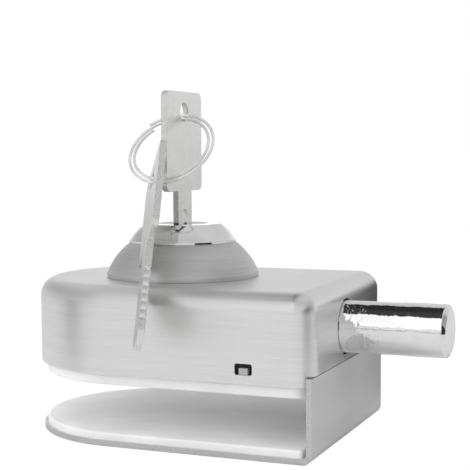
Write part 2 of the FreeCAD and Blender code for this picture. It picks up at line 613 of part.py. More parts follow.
def make_cylinder():
    bore = "plug_radius + plug_play"
    counterbore = "flange_radius + plug_play"
    seat = "flange_low - plug_play"
    housing = turned("housing", [
        (bore, "cylinder_bottom"), ("neck_radius", "cylinder_bottom"), ("neck_radius", "neck_top"),
        ("cylinder_radius", "neck_top"), ("cylinder_radius", "dome_top"), ("head_radius", "dome_top"),
        ("head_radius", "head_top"), (counterbore, "head_top"), (counterbore, seat), (bore, seat)])
    chambers = [rod(f"chamber_{i}", "x", ("0", z), "pin_radius + pin_play", "plug_radius - pin_radius",
                    "cylinder_radius + past") for i, z in enumerate(PIN_HEIGHTS, 1)]
    node(cut("cylinder_body", housing, *chambers), "cylinder_body")

    ring_in = "cylinder_radius + sleeve_gap"
    ring_out = "cylinder_radius + sleeve_gap + sleeve_wall"
    low, high = "cover_top + hole_gap", "dome_top - hole_gap"
    node(turned("pin_sleeve", [(ring_in, low), (ring_out, low), (ring_out, high), (ring_in, high)]),
         "pin_sleeve")

    inside, outside = "cylinder_radius + thread_gap", "cylinder_radius + nut_wall"
    low, high = "cover_ceiling - nut_height", "cover_ceiling"
    ring = turned("nut_ring", [(inside, low), (outside, low), (outside, high), (inside, high)])
    slots = []
    for i, side in enumerate(("0 - ", ""), 1):
        near, far = "cylinder_radius + nut_wall / 2", "cylinder_radius + nut_wall + past"
        ends = (far, near) if side else (near, far)
        span = (f"{side}({ends[0]})", f"{side}({ends[1]})")
        across = ("0 - nut_slot / 2", "nut_slot / 2")
        height = (f"{low} - past", f"{high} - nut_height / 2")
        slots.append(block(f"nut_slot_x_{i}", span, across, height))
        slots.append(block(f"nut_slot_y_{i}", across, span, height))
    node(cut("cylinder_nut", ring, *slots), "cylinder_nut")


def make_plug():
    groove = "plug_radius - clip_depth"
    barrel = turned("plug_barrel", [
        ("0", "pinion_low"), ("tail_radius", "pinion_low"), ("tail_radius", "plug_bottom"),
        ("plug_radius", "plug_bottom"), ("plug_radius", "clip_low - clip_gap"), (groove, "clip_low - clip_gap"),
        (groove, "clip_top + clip_gap"), ("plug_radius", "clip_top + clip_gap"), ("plug_radius", "flange_low"),
        ("flange_radius", "flange_low"), ("flange_radius", "flange_top"), ("plug_radius", "flange_top"),
        ("plug_radius", "plug_top"), ("0", "plug_top")])
    keyway = block("keyway", ("0 - key_thick / 2 - keyway_play", "key_thick / 2 + keyway_play"),
                   ("0 - blade_width / 2 - keyway_play", "blade_width / 2 + keyway_play"),
                   ("key_tip - keyway_play", "plug_top + past"))
    holes = [rod(f"plug_pin_hole_{i}", "x", ("0", z), "pin_radius + pin_play", "0", "plug_radius + past")
             for i, z in enumerate(PIN_HEIGHTS, 1)]
    cross = rod("tail_cross_hole", "x", ("0", "pinion_top + hub_height / 2"), "hub_pin_radius + thread_gap",
                "0 - hub_radius", "hub_radius")
    node(cut("cylinder_plug", barrel, keyway, cross, *holes), "cylinder_plug")

    inside = f"{groove} + clip_gap"
    ring = turned("clip_ring", [(inside, "clip_low"), ("neck_radius", "clip_low"), ("neck_radius", "clip_top"),
                                (inside, "clip_top")])
    opening = block("clip_gap_block", ("0", "neck_radius + past"), ("0 - clip_opening / 2", "clip_opening / 2"),
                    ("clip_low - past", "clip_top + past"))
    node(cut("plug_circlip", ring, opening), "plug_circlip")

    face = "key_thick / 2 + 2 * keyway_play"
    key_pins = [rod(f"key_pin_{i}", "x", ("0", z), "pin_radius", face, "plug_radius - keyway_play")
                for i, z in enumerate(PIN_HEIGHTS, 1)]
    node(group("key_pins", key_pins), "key_pins")
    start = "plug_radius + keyway_play"
    drivers = [rod(f"driver_pin_{i}", "x", ("0", z), "pin_radius", start, f"{start} + driver_length")
               for i, z in enumerate(PIN_HEIGHTS, 1)]
    node(group("driver_pins", drivers), "driver_pins")
    room = value(f"cylinder_radius - ({start}) - driver_length")
    seats = [V(value(f"{start} + driver_length"), 0, value(z)) for z in PIN_HEIGHTS]
    spring("pin_springs", seats, X_AXIS, room, value("pin_coil"), value("pin_wire"), SIZES["pin_turns"])


def make_dome_and_collar():
    hole = "cylinder_radius + sleeve_gap + sleeve_wall + dome_hole_gap"
    knee = "cover_top + dome_lip"
    inner = "dome_radius - dome_wall"
    node(turned("dome", [
        (inner, "cover_top"), ("dome_radius", "cover_top"), ("dome_radius", knee), ("dome_shoulder", "dome_top"),
        (hole, "dome_top"), (hole, "dome_top - dome_wall"),
        ("dome_shoulder - dome_wall / 2", "dome_top - dome_wall"), (inner, knee)],
        {2: ("dome_curve", True), 6: ("dome_curve", False)}), "dome")
    mouth = "plug_radius + collar_mouth_gap"
    socket = "head_radius + thread_gap"
    node(turned("collar", [
        (socket, "dome_top"), ("dome_shoulder", "dome_top"), ("dome_shoulder", "dome_top + collar_band"),
        ("collar_top", "collar_peak"), (mouth, "collar_peak"), (mouth, "head_top"), (socket, "head_top")],
        {2: ("collar_curve", True)}), "collar")


def key_blank(name):
    """A flat key in its own frame: thickness along X, width along Y, origin where the blade meets the bow."""
    body = new_body(name + "_flat")
    sketch = new_sketch(body, "YZ_Plane")
    half, bow, point = "blade_width / 2", "bow_width / 2", "blade_point"
    right = [(f"{half} - {point}", "0 - blade_length"), (half, f"{point} - blade_length"), (half, "0"),
             (bow, "0"), (bow, "bow_height")]
    left = [(f"0 - ({y})", z) for y, z in reversed(right)]
    draw_path(sketch, right + left)
    draw_circle(sketch, "0", "hole_height", "key_hole")
    pad = add_pad(body, sketch, "key_thick", middle=True)
    reach = value(bow) - 1e-6
    round_edges(body, pad, "bow_corner",
                lambda edge: edge.BoundBox.YLength < 1e-6 and edge.BoundBox.ZLength < 1e-6 and
                abs(edge.BoundBox.YMin) > reach)
    dents = []
    for i, z in enumerate(PIN_HEIGHTS, 1):
        spot = ("0", f"0 - blade_point - {i} * dimple_spacing")
        for side, ends in (("near", ("0 - key_thick", "dimple_depth - key_thick / 2")),
                           ("far", ("key_thick / 2 - dimple_depth", "key_thick"))):
            dents.append(rod(f"{name}_{side}_dimple_{i}", "x", spot, "dimple_radius", *ends))
    return cut(name, body, *dents)


def make_split_ring():
    """Two flat turns of wire. The inner turn rests low in the key's hole, and the ring leans to the front."""
    wire, step = value("ring_wire"), value("ring_step")
    lean, seat = math.radians(value("ring_lean_angle")), math.radians(value("ring_seat_angle"))
    up = V(0, math.sin(lean), math.cos(lean))
    rest = value("key_hole - ring_wire / 2 - ring_clear")
    hold = V(0, rest * math.sin(seat), value("shoulder + hole_height") - rest * math.cos(seat))

    def spoke(degrees):
        angle = math.radians(degrees)
        return X_AXIS * math.cos(angle) + up * math.sin(angle)

    # Half turns about two centres one step apart, so that the radius grows by a step at each half turn.
    start = value("ring_opening_angle")
    shift = spoke(start) * step
    second = value("ring_first") + step
    reach = math.sqrt(second ** 2 - shift.dot(X_AXIS) ** 2) + shift.dot(up)
    centre = hold - up * reach
    arcs = []
    samples = []
    for half in range(4):
        middle = centre + shift * (half % 2)
        radius = value("ring_first") + step * half
        spots = [middle + spoke(start + 180 * half + turn) * radius for turn in (0, 90, 180)]
        arcs.append(Part.Arc(*spots).toShape())
        samples.append([middle + spoke(start + 180 * half + turn) * radius for turn in range(0, 180, 3)])
    gap = min(a.distanceToPoint(b) for i in (0, 1) for a in samples[i] for b in samples[i + 2]) - wire
    print(f"split_ring: least gap between its turns {gap:.2f} mm")
    first = arcs[0].Vertexes[0].Point
    section = Part.Wire(Part.Circle(first, spoke(start + 90), wire / 2).toShape())
    ring = doc.addObject("Part::Feature", "split_ring")
    ring.Shape = Part.Wire(arcs).makePipeShell([section], True, False)
    node(ring, "split_ring")


def make_keys():
    key = place(key_blank("key"), z="shoulder")
    node(key, "key")
    spare = key_blank("spare_key")
    turn = (FreeCAD.Rotation(Z_AXIS, value("spare_yaw_angle"))
            * FreeCAD.Rotation(X_AXIS, -value("spare_lean_angle"))
            * FreeCAD.Rotation(Y_AXIS, value("spare_roll_angle")))
    hole = V(value("0 - spare_left"), value("0 - spare_front"), value("shoulder + hole_height - spare_drop"))
    spare.Placement = FreeCAD.Placement(hole - turn.multVec(V(0, 0, value("hole_height"))), turn)
    node(spare, "spare_key")


def make_catch():
    half = "catch_body / 2"
    low, high = "catch_z - catch_height / 2", "catch_z + catch_height / 2"
    body = block("catch_block", (f"catch_x - {half}", f"catch_x + {half}"),
                 ("0 - catch_front", "0 - catch_back"), (low, high))
    nib = block("catch_nib", ("catch_x - nib_width / 2", "catch_x + nib_width / 2"),
                ("0 - half_width - cover_overhang", "0 - catch_back"), (low, f"{low} + nib_height"))
    stem = rod("catch_stem_rod", "y", ("catch_x", "catch_z"), "catch_stem", "0 - catch_back - past",
               "catch_room / 2 - catch_back")
    node(fuse("catch_button", body, nib, stem), "catch_button")

    inner, roof = f"({half} + catch_gap)", f"{high} + catch_gap"
    back = "catch_room - catch_back"
    front = "catch_travel / 2 - catch_front"
    reach = "(catch_screw_x + small_head)"
    shell = block("catch_shell", ("catch_x - catch_half", "catch_x + catch_half"),
                  (front, f"{back} + catch_wall"), ("plate_top", f"{roof} + catch_wall"))
    ears = block("catch_ears", (f"catch_x - {reach}", f"catch_x + {reach}"),
                 ("0 - catch_ear_front", "catch_ear_depth - catch_ear_front"),
                 ("plate_top", "plate_top + catch_ear_thick"))
    room = block("catch_room_block", (f"catch_x - {inner}", f"catch_x + {inner}"), ("0 - wall_inside", back),
                 ("plate_top - past", roof))
    holes = [rod(f"catch_hole_{i}", "z", spot, "small_screw + hole_gap", "plate_top - past",
                 "plate_top + catch_ear_thick + past") for i, spot in enumerate(CATCH_SCREWS, 1)]
    node(cut("catch_housing", fuse("catch_blank", shell, ears), room, *holes), "catch_housing")
    small_screws("catch_screws", CATCH_SCREWS, "plate_top + catch_ear_thick", "plate_low + thread_gap")
    start = V(value("catch_x"), value("0 - catch_back"), value("catch_z"))
    spring("catch_spring", [start], Y_AXIS, value("catch_room"), value("catch_coil"), value("catch_wire"),
           SIZES["catch_turns"])


make_bracket()
make_pads()
make_clamps()
make_cover()
make_bolt_guide()
make_bolt()
make_rack()
make_rail()
make_pinion()
make_cylinder()
make_plug()
make_dome_and_collar()
make_keys()
make_split_ring()
make_catch()
doc.recompute()

failed = [obj.Label for obj in doc.Objects if "Invalid" in obj.State or "Error" in obj.State]
failed += [obj.Label for obj in nodes if obj.Shape.isNull() or not obj.Shape.isValid()]
if failed:
    raise RuntimeError("These pieces failed: " + ", ".join(failed))
os.makedirs("parts", exist_ok=True)
for obj in nodes:
    obj.Shape.exportStep(os.path.join("parts", obj.Label + ".step"))
print(f"{len(nodes)} pieces written")
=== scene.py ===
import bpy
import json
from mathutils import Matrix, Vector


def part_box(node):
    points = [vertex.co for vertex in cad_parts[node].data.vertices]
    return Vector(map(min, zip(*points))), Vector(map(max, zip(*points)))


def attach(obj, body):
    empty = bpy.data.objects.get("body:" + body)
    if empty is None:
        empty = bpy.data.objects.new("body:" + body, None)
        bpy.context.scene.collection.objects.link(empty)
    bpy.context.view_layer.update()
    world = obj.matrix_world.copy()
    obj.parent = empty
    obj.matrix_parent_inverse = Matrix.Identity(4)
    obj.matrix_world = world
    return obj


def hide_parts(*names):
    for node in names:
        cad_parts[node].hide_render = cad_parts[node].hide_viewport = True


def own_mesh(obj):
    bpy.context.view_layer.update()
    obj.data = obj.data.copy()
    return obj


bl_info = {
    "name": "Glass door lock",
    "version": (1, 0, 0),
    "blender": (4, 5, 0),
    "location": "3D View > Sidebar > Lock",
    "description": "Builds the lock's cover, dome, bolt, bracket, pads, keys and ring round its CAD frame",
    "category": "Object",
}

import json
import math

import bmesh
import bpy
import numpy as np
from bpy.props import FloatProperty, FloatVectorProperty, PointerProperty
from mathutils import Matrix, Vector

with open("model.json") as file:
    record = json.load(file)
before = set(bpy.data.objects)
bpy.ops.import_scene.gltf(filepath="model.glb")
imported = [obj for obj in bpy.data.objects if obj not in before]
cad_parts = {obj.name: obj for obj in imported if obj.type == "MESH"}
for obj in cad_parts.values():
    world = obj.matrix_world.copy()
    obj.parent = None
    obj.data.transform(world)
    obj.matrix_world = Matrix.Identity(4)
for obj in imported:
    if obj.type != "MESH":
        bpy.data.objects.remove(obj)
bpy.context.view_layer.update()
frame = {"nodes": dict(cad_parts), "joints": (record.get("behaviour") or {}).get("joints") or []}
MM = 0.001
NOTCHES = 7
DENTS = 4
SPRING_TURNS = 4.5
FLOOR_RADIUS = 20
# Dark cards that stand on the floor: name, foot on the left, foot on the right and height in metres
CARDS = (("near_card", (0.047, 0.052), (0.076, 0.050), 0.042), ("far_card", (0.055, 0.147), (0.092, 0.135), 0.036),
         ("right_card", (0.220, -0.190), (0.290, -0.010), 0.120),
         ("left_card", (-0.160, -0.130), (-0.140, -0.070), 0.046))
# Lamps: name, place, aim, width and height in metres, power in watts
LAMPS = (("lamp_top", (0.0, -0.10, 0.85), (0, 0, 0.03), 1.0, 0.7, 3.2),
         ("lamp_left", (-0.60, -0.50, 0.40), (0, 0, 0.03), 0.5, 0.5, 1.8),
         ("lamp_right", (0.70, -0.45, 0.25), (0.02, 0, 0.03), 0.25, 0.4, 0.35))
# Brightness of the mirrored studio: the wall behind and the front by height, and both by side from left to right
WALL_LEVELS = ((0.0, 1.55), (0.07, 1.45), (0.13, 1.1), (0.24, 1.05), (0.36, 0.85), (0.66, 0.8), (0.96, 0.85))
FRONT_LEVELS = ((0.0, 0.6), (0.02, 0.6), (0.05, 1.15), (0.20, 1.05), (0.4, 0.75), (0.9, 0.75), (1.0, 0.85))
SIDE_LEVELS = ((0.0, 0.7), (0.13, 0.7), (0.20, 1.08), (0.30, 1.08), (0.36, 1.0), (0.86, 1.0), (0.91, 0.5), (1.0, 0.5))
# The photograph's camera, fitted to the lock's corners and rims: metres, degrees, and millimetres for the lens
CAMERA_PLACE = (0.13179, -0.28433, 0.07269)
CAMERA_YAW, CAMERA_PITCH, CAMERA_ROLL = 21.97, 4.37, -0.33
CAMERA_LENS, CAMERA_SENSOR = 90.68, 36
CAMERA_SHIFT = (-0.0163, 0.0132)


def node_box(name):
    """The lowest and highest corner of a CAD node as arrays."""
    low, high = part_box(name)
    return np.array(low, float), np.array(high, float)


def joint(name):
    """A joint of the frame by its name."""
    return next(j for j in frame["joints"] if j["name"] == name)


# Sizes and colours that a user would change

def size_of(name, description, millimetres):
    """A length that a user can change, kept in metres."""
    return FloatProperty(name=name, description=description, default=millimetres * MM, unit="LENGTH")


def angle_of(name, description, degrees):
    """An angle that a user can change."""
    return FloatProperty(name=name, description=description, default=math.radians(degrees), subtype="ANGLE")


def colour_of(name, description, *default):
    """A colour that a user can change."""
    return FloatVectorProperty(name=name, description=description, default=default, subtype="COLOR")


class LockSizes(bpy.types.PropertyGroup):
    """Sizes of the lock's visible pieces"""
    cover_wall: size_of("Cover wall", "Thickness of the cover's sheet", 1.2)
    cover_corner: size_of("Cover corner", "Radius of the cover's upright corners", 5.2)
    cover_edge: size_of("Cover edge", "Radius of the rounding round the cover's top", 4.6)
    dome_wall: size_of("Dome wall", "Thickness of the dome's sheet", 1.2)
    dome_curve: size_of("Dome curve", "Radius of the dome's rounding in section", 17.5)
    collar_curve: size_of("Collar curve", "Radius of the collar's rounding in section", 13)
    collar_socket: size_of("Collar socket", "Radius of the collar's seat on the cylinder", 9.65)
    collar_mouth: size_of("Collar mouth", "Radius of the collar's opening for the key", 6.6)
    collar_brim: size_of("Collar brim", "Radius of the collar's flat top", 10.2)
    sheet: size_of("Bracket sheet", "Thickness of the bracket's sheet", 1.4)
    bend: size_of("Bracket bend", "Inner radius of the bracket's bend", 1.0)
    pad_edge: size_of("Pad edge", "Radius of the pads' soft edges", 0.6)
    window_wide: size_of("Window width", "Width of the catch window", 4.4)
    window_high: size_of("Window height", "Height of the catch window", 2.7)
    window_corner: size_of("Window corner", "Radius of the catch window's corners", 0.5)
    bolt_gap: size_of("Bolt gap", "Gap round the bolt in the cover's hole", 0.3)
    bolt_step: size_of("Bolt step", "How much thicker the guided part of the bolt is", 0.2)
    bolt_chamfer: size_of("Bolt chamfer", "Chamfer at the bolt's tip", 0.8)
    bow_high: size_of("Bow height", "Height of a key's bow", 26)
    bow_wide: size_of("Bow width", "Width of a key's bow", 21.8)
    bow_corner: size_of("Bow corner", "Radius of a bow's corners", 1.8)
    blade_wide: size_of("Blade width", "Width of a key's blade", 8.4)
    blade_long: size_of("Blade length", "Length of a key's blade", 28)
    blade_point: size_of("Blade point", "Length of the slanted part at a blade's tip", 2.4)
    key_thick: size_of("Key thickness", "Thickness of a key", 1.6)
    notch_first: size_of("First notch", "From a key's shoulder down to its first notch", 9)
    notch_pitch: size_of("Notch pitch", "From one notch of a key's edge to the next", 2.2)
    notch_deep: size_of("Notch depth", "Depth of a notch in a key's edge", 0.5)
    dent_first: size_of("First dent", "From a key's shoulder down to the first dent of its blade", 5.8)
    dent_pitch: size_of("Dent pitch", "From one dent of a blade to the next", 3.4)
    dent_wide: size_of("Dent radius", "Radius of a dent in a blade", 1.1)
    dent_deep: size_of("Dent depth", "Depth of a dent in a blade", 0.35)
    key_hole: size_of("Key hole", "Radius of the hole in a key's bow", 2.3)
    hole_down: size_of("Hole depth", "From the top of the bow down to the hole's middle", 5.3)
    wire: size_of("Ring wire", "Thickness of the split ring's wire", 0.8)
    spring_wire: size_of("Spring wire", "Thickness of the catch spring's wire", 0.4)
    ring_first: size_of("Ring radius", "Radius of the ring's first half turn", 9.96)
    ring_step: size_of("Ring step", "How much the radius grows at each half turn", 0.62)
    ring_lean: angle_of("Ring lean", "The ring's lean from upright", 42.4)
    ring_seat: angle_of("Ring seat", "Where the ring rests, round the hole from its lowest point", 15)
    ring_opening: angle_of("Ring opening", "Where the wire's ends lie, round the ring from its right", 135)
    spare_yaw: angle_of("Spare key yaw", "The spare key's turn about the upright", 39)
    spare_lean: angle_of("Spare key lean", "The spare key's lean to the front", 37.5)
    spare_roll: angle_of("Spare key roll", "The spare key's turn in its own plane", 13.2)


class LockColours(bpy.types.PropertyGroup):
    """Colours of the lock's finishes"""
    steel: colour_of("Brushed steel", "Colour of the cover", 0.80, 0.80, 0.797)
    dome: colour_of("Dome steel", "Colour of the dome", 0.67, 0.67, 0.667)
    bracket: colour_of("Bracket steel", "Colour of the bent bracket", 0.64, 0.64, 0.64)
    chrome: colour_of("Chrome", "Colour of the bolt and collar", 0.86, 0.86, 0.86)
    nickel: colour_of("Nickel", "Colour of the keys", 0.75, 0.75, 0.74)
    wire: colour_of("Ring wire", "Colour of the split ring", 0.92, 0.92, 0.91)
    pad: colour_of("Pad", "Colour of the rubber pads", 0.95, 0.95, 0.95)
    zinc: colour_of("Zinc", "Colour of the plated steel inside", 0.50, 0.51, 0.53)
    brass: colour_of("Brass", "Colour of the cylinder and its pins", 0.62, 0.47, 0.22)
    plug: colour_of("Plug", "Colour of the cylinder's plug", 0.55, 0.55, 0.54)
    catch: colour_of("Catch", "Colour of the tab in the window", 0.50, 0.50, 0.50)
    # Painted shade: the block behind the tab is painted near black to stand for the shade inside the catch window.
    block_painted_shade: colour_of("Catch paint", "Colour of the black block behind the tab", 0.015, 0.015, 0.015)
    # Painted shade: the housing is painted near black to stand for the shade inside the catch window.
    catch_housing: colour_of("Catch housing", "Colour of the catch's housing", 0.02, 0.02, 0.02)
    floor: colour_of("Floor", "Colour of the studio floor", 0.80, 0.80, 0.80)


# Meshes

def face_grid(rows, columns, closed=False):
    """Corner numbers of the quads between neighbouring rows. Closed rows join their last column to their first."""
    here = np.arange(columns if closed else columns - 1)
    beside = (here + 1) % columns
    start = np.arange(rows - 1)[:, None] * columns
    quads = np.stack([start + here, start + beside, start + beside + columns, start + here + columns], axis=-1)
    return quads.reshape(-1, 4)


def capped(rows, columns):
    """Faces of rows that close on themselves, with one face over either end."""
    faces = face_grid(rows, columns, closed=True).tolist()
    return faces + [list(range(columns))[::-1], list(range((rows - 1) * columns, rows * columns))]


def run_along(path):
    """The distance along a flat path at each of its points."""
    return np.concatenate([[0], np.cumsum(np.hypot(*np.diff(np.asarray(path, float), axis=0).T))])


def mesh_object(name, points, faces):
    """A plain mesh object at the origin, in the scene."""
    mesh = bpy.data.meshes.new(name)
    mesh.from_pydata(np.asarray(points, float).reshape(-1, 3).tolist(), [], [list(map(int, f)) for f in faces])
    obj = bpy.data.objects.new(name, mesh)
    bpy.context.scene.collection.objects.link(obj)
    return obj


def new_piece(name, points, faces, body, finishes, replaces=(), uv=None, face_slots=None, sharp=35):
    """Makes a mesh object in place, smooth except at sharp edges, and lets it ride on a body of the frame."""
    obj = mesh_object(name, points, faces)
    mesh = obj.data
    if uv is not None:
        corners = np.empty(len(mesh.loops), dtype=np.int32)
        mesh.loops.foreach_get("vertex_index", corners)
        layer = mesh.uv_layers.new(name="surface")
        layer.data.foreach_set("uv", np.asarray(uv, float).reshape(-1, 2)[corners].ravel())
    if face_slots is not None:
        mesh.polygons.foreach_set("material_index", np.asarray(face_slots, dtype=np.int32))
    for finish in finishes:
        mesh.materials.append(named_finish(finish))
    tidy_mesh(obj, sharp)
    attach(obj, body)
    if replaces:
        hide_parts(*replaces)
    return obj


def tidy_mesh(obj, sharp=35):
    """Merges doubled points, closes the mesh's seams and marks the edges that stay sharp."""
    doubled, tiny = 0.002 * MM, 0.001 * MM
    work = bmesh.new()
    work.from_mesh(obj.data)
    bmesh.ops.remove_doubles(work, verts=work.verts, dist=doubled)
    bmesh.ops.dissolve_degenerate(work, edges=work.edges, dist=tiny)
    bmesh.ops.recalc_face_normals(work, faces=work.faces)
    work.to_mesh(obj.data)
    work.free()
    obj.data.polygons.foreach_set("use_smooth", np.ones(len(obj.data.polygons), dtype=bool))
    obj.data.set_sharp_from_angle(angle=math.radians(sharp))
    obj.data.update()


def helper(name, points, faces):
    """A cutting shape that is deleted after use."""
    obj = mesh_object(name, points, faces)
    tidy_mesh(obj)
    return obj


def carve(obj, cutters, sharp=35):
    """Takes the cutters away from obj and keeps the result as its mesh."""
    for cutter in cutters:
        step = obj.modifiers.new("carve", "BOOLEAN")
        step.operation = "DIFFERENCE"
        step.solver = "EXACT"
        step.object = cutter
    bake_modifiers(obj)
    for cutter in cutters:
        bpy.data.objects.remove(cutter, do_unlink=True)
    tidy_mesh(obj, sharp)


def bake_modifiers(obj):
    """Keeps what the modifiers make as the object's own mesh."""
    bpy.context.view_layer.update()
    graph = bpy.context.evaluated_depsgraph_get()
    mesh = bpy.data.meshes.new_from_object(obj.evaluated_get(graph))
    obj.modifiers.clear()
    obj.data = mesh


def soften(obj, width, segments=2, angle=40):
    """A narrow bevel on the sharp edges, and normals that follow the large faces."""
    bevel = obj.modifiers.new("worn edges", "BEVEL")
    bevel.width = width
    bevel.segments = segments
    bevel.limit_method = "ANGLE"
    bevel.angle_limit = math.radians(angle)
    bevel.harden_normals = False
    even_shading(obj)


def even_shading(obj):
    """Lets the large faces lead the normals, so that flat metal mirrors flat right up to its rounded edges."""
    weigh = obj.modifiers.new("even shading", "WEIGHTED_NORMAL")
    weigh.keep_sharp = True


def box_shape(low, high):
    """Corners and faces of a block between two corners."""
    corners = np.array([[x, y, z] for x in (low[0], high[0]) for y in (low[1], high[1]) for z in (low[2], high[2])])
    return corners, [(0, 1, 3, 2), (4, 6, 7, 5), (0, 4, 5, 1), (2, 3, 7, 6), (0, 2, 6, 4), (1, 5, 7, 3)]


def turned(profile, steps=96, axis="z", centre=(0, 0, 0)):
    """A profile of radius and height carried round an axis: x = r cos a, y = r sin a, z = h.
    Returns the points, the faces and a map that runs round and along the surface in metres."""
    profile = np.asarray(profile, float)
    angle = np.linspace(0, 2 * math.pi, steps, endpoint=False)
    radius, height = profile[:, :1], profile[:, 1:2]
    round_x, round_y, along = radius * np.cos(angle), radius * np.sin(angle), height + 0 * angle
    order = {"z": (round_x, round_y, along), "x": (along, round_x, round_y)}[axis]
    points = np.stack(order, axis=-1) + np.asarray(centre, float)
    run = run_along(profile)
    surface = np.stack([angle * radius.max() + 0 * run[:, None], run[:, None] + 0 * angle], axis=-1)
    return points.reshape(-1, 3), face_grid(len(profile), steps, closed=True), surface.reshape(-1, 2)


def arc(start, end, radius, steps=12):
    """Points on an arc between two points of a profile, bulging to the right of the way from start to end."""
    start, end = np.asarray(start, float), np.asarray(end, float)
    chord = end - start
    length = np.hypot(*chord)
    side = np.array([-chord[1], chord[0]]) / length
    middle = (start + end) / 2 + side * math.sqrt(max(radius ** 2 - length ** 2 / 4, 0))
    first = math.atan2(*(start - middle)[::-1])
    last = math.atan2(*(end - middle)[::-1])
    if last < first:
        last += 2 * math.pi
    angle = np.linspace(first, last, steps)
    return np.stack([middle[0] + radius * np.cos(angle), middle[1] + radius * np.sin(angle)], axis=-1)


def quarter_round(radius, inset, top, steps):
    """A quarter circle from an upright side to a level top, as pairs of inset and height:
    inset + r (1 - cos a) and top - r + r sin a."""
    angle = np.linspace(0, math.pi / 2, steps)
    return [(inset + radius * (1 - math.cos(a)), top - radius + radius * math.sin(a)) for a in angle]


def rounded_rim(radius, low, high, steps):
    """The rim of a plate between two heights: a quarter round below and one above."""
    above = quarter_round(radius, 0, high, steps)
    return [(inset, low + high - z) for inset, z in above[::-1]] + above


def d_ring(half, right, corner, left_centre):
    """Points round a D seen from above, anticlockwise: a half circle on the left, and a right side whose two
    corners are quarter circles. Every ring has the same number of points, so rings join one to one."""
    turn = np.linspace(math.pi / 2, 3 * math.pi / 2, 97)
    round_end = np.stack([left_centre + half * np.cos(turn), half * np.sin(turn)], axis=-1)
    quarter = np.linspace(-math.pi / 2, 0, 13)
    low = np.stack([right - corner + corner * np.cos(quarter), corner - half + corner * np.sin(quarter)], axis=-1)
    high = np.stack([low[::-1, 0], -low[::-1, 1]], axis=-1)
    front = np.linspace(round_end[-1], low[0], 25)[1:-1]
    side = np.linspace(low[-1], high[0], 25)[1:-1]
    back = np.linspace(high[-1], round_end[0], 25)[1:-1]
    return np.concatenate([round_end, front, low, side, high, back])


def d_stack(profile, half, right, corner, left_centre):
    """Rings of a D, each inset and lifted as the profile says, closed by a flat face at either end.
    The map runs round the first ring and along the profile, in metres."""
    rings = [d_ring(half - inset, right - inset, max(corner - inset, 0.05 * MM), left_centre)
             for inset, _ in profile]
    points = np.stack([np.column_stack([ring, np.full(len(ring), z)]) for ring, (_, z) in zip(rings, profile)])
    around, run = run_along(d_ring(half, right, corner, left_centre)), run_along(profile)
    surface = np.stack([around + 0 * run[:, None], run[:, None] + 0 * around], axis=-1)
    return points.reshape(-1, 3), capped(*points.shape[:2]), surface.reshape(-1, 2)


def map_flat_faces(obj, up=0.98):
    """Maps the level faces by their own x and y, so that their brushing runs along the lock."""
    mesh = obj.data
    layer = mesh.uv_layers[0].data
    for face in mesh.polygons:
        if abs(face.normal.z) > up:
            for corner in face.loop_indices:
                place = mesh.vertices[mesh.loops[corner].vertex_index].co
                layer[corner].uv = (place.x, place.y)


def rounded_polygon(corners, steps=7):
    """Points round a polygon whose corners are (x, y, radius), each corner an arc that touches both its sides."""
    corners = [(np.array(c[:2], float), c[2]) for c in corners]
    path = []
    for i, (place, radius) in enumerate(corners):
        before = corners[i - 1][0] - place
        after = corners[(i + 1) % len(corners)][0] - place
        before, after = before / np.hypot(*before), after / np.hypot(*after)
        if radius == 0:
            path.append(place[None])
            continue
        half = math.acos(float(np.clip(before @ after, -1, 1))) / 2
        reach = radius / math.tan(half)
        middle = place + (before + after) / np.hypot(*(before + after)) * radius / math.sin(half)
        first = place + before * reach - middle
        last = place + after * reach - middle
        a, b = math.atan2(first[1], first[0]), math.atan2(last[1], last[0])
        b = a + (b - a + math.pi) % (2 * math.pi) - math.pi
        angle = np.linspace(a, b, steps)
        path.append(middle + radius * np.stack([np.cos(angle), np.sin(angle)], axis=-1))
    return np.concatenate(path)


def inward(outline):
    """Unit vectors that point into a closed anticlockwise outline, square to it at each point."""
    along = np.roll(outline, -1, axis=0) - np.roll(outline, 1, axis=0)
    normal = np.stack([-along[:, 1], along[:, 0]], axis=-1)
    return normal / np.linalg.norm(normal, axis=1, keepdims=True)


def tube(path, radius, aside, sides=16):
    """A circle carried along a path: each ring is path + r (cos a * across + sin a * other). Across is square to
    the path and to aside, which is one direction or one for each point, and other is square to both."""
    path = np.asarray(path, float)
    along = np.gradient(path, axis=0)
    along /= np.linalg.norm(along, axis=1, keepdims=True)
    across = np.cross(along, aside)
    across /= np.linalg.norm(across, axis=1, keepdims=True)
    other = np.cross(across, along)
    angle = np.linspace(0, 2 * math.pi, sides, endpoint=False)[:, None]
    rings = path[:, None] + radius * (np.cos(angle) * across[:, None] + np.sin(angle) * other[:, None])
    return rings.reshape(-1, 3), capped(len(path), sides)


# Materials

class Signal:
    """A shader socket that can stand in an expression."""

    def __init__(self, shader, socket):
        self.shader = shader
        self.socket = socket

    def math(self, operation, other=None, swapped=False):
        pair = (other, self) if swapped else (self, other)
        values = {i: v for i, v in enumerate(pair) if v is not None}
        return self.shader.add("ShaderNodeMath", values, operation=operation)

    def __add__(self, other):
        return self.math("ADD", other)

    def __sub__(self, other):
        return self.math("SUBTRACT", other)

    def __mul__(self, other):
        return self.math("MULTIPLY", other)

    def __rsub__(self, other):
        return self.math("SUBTRACT", other, swapped=True)

    __radd__ = __add__
    __rmul__ = __mul__


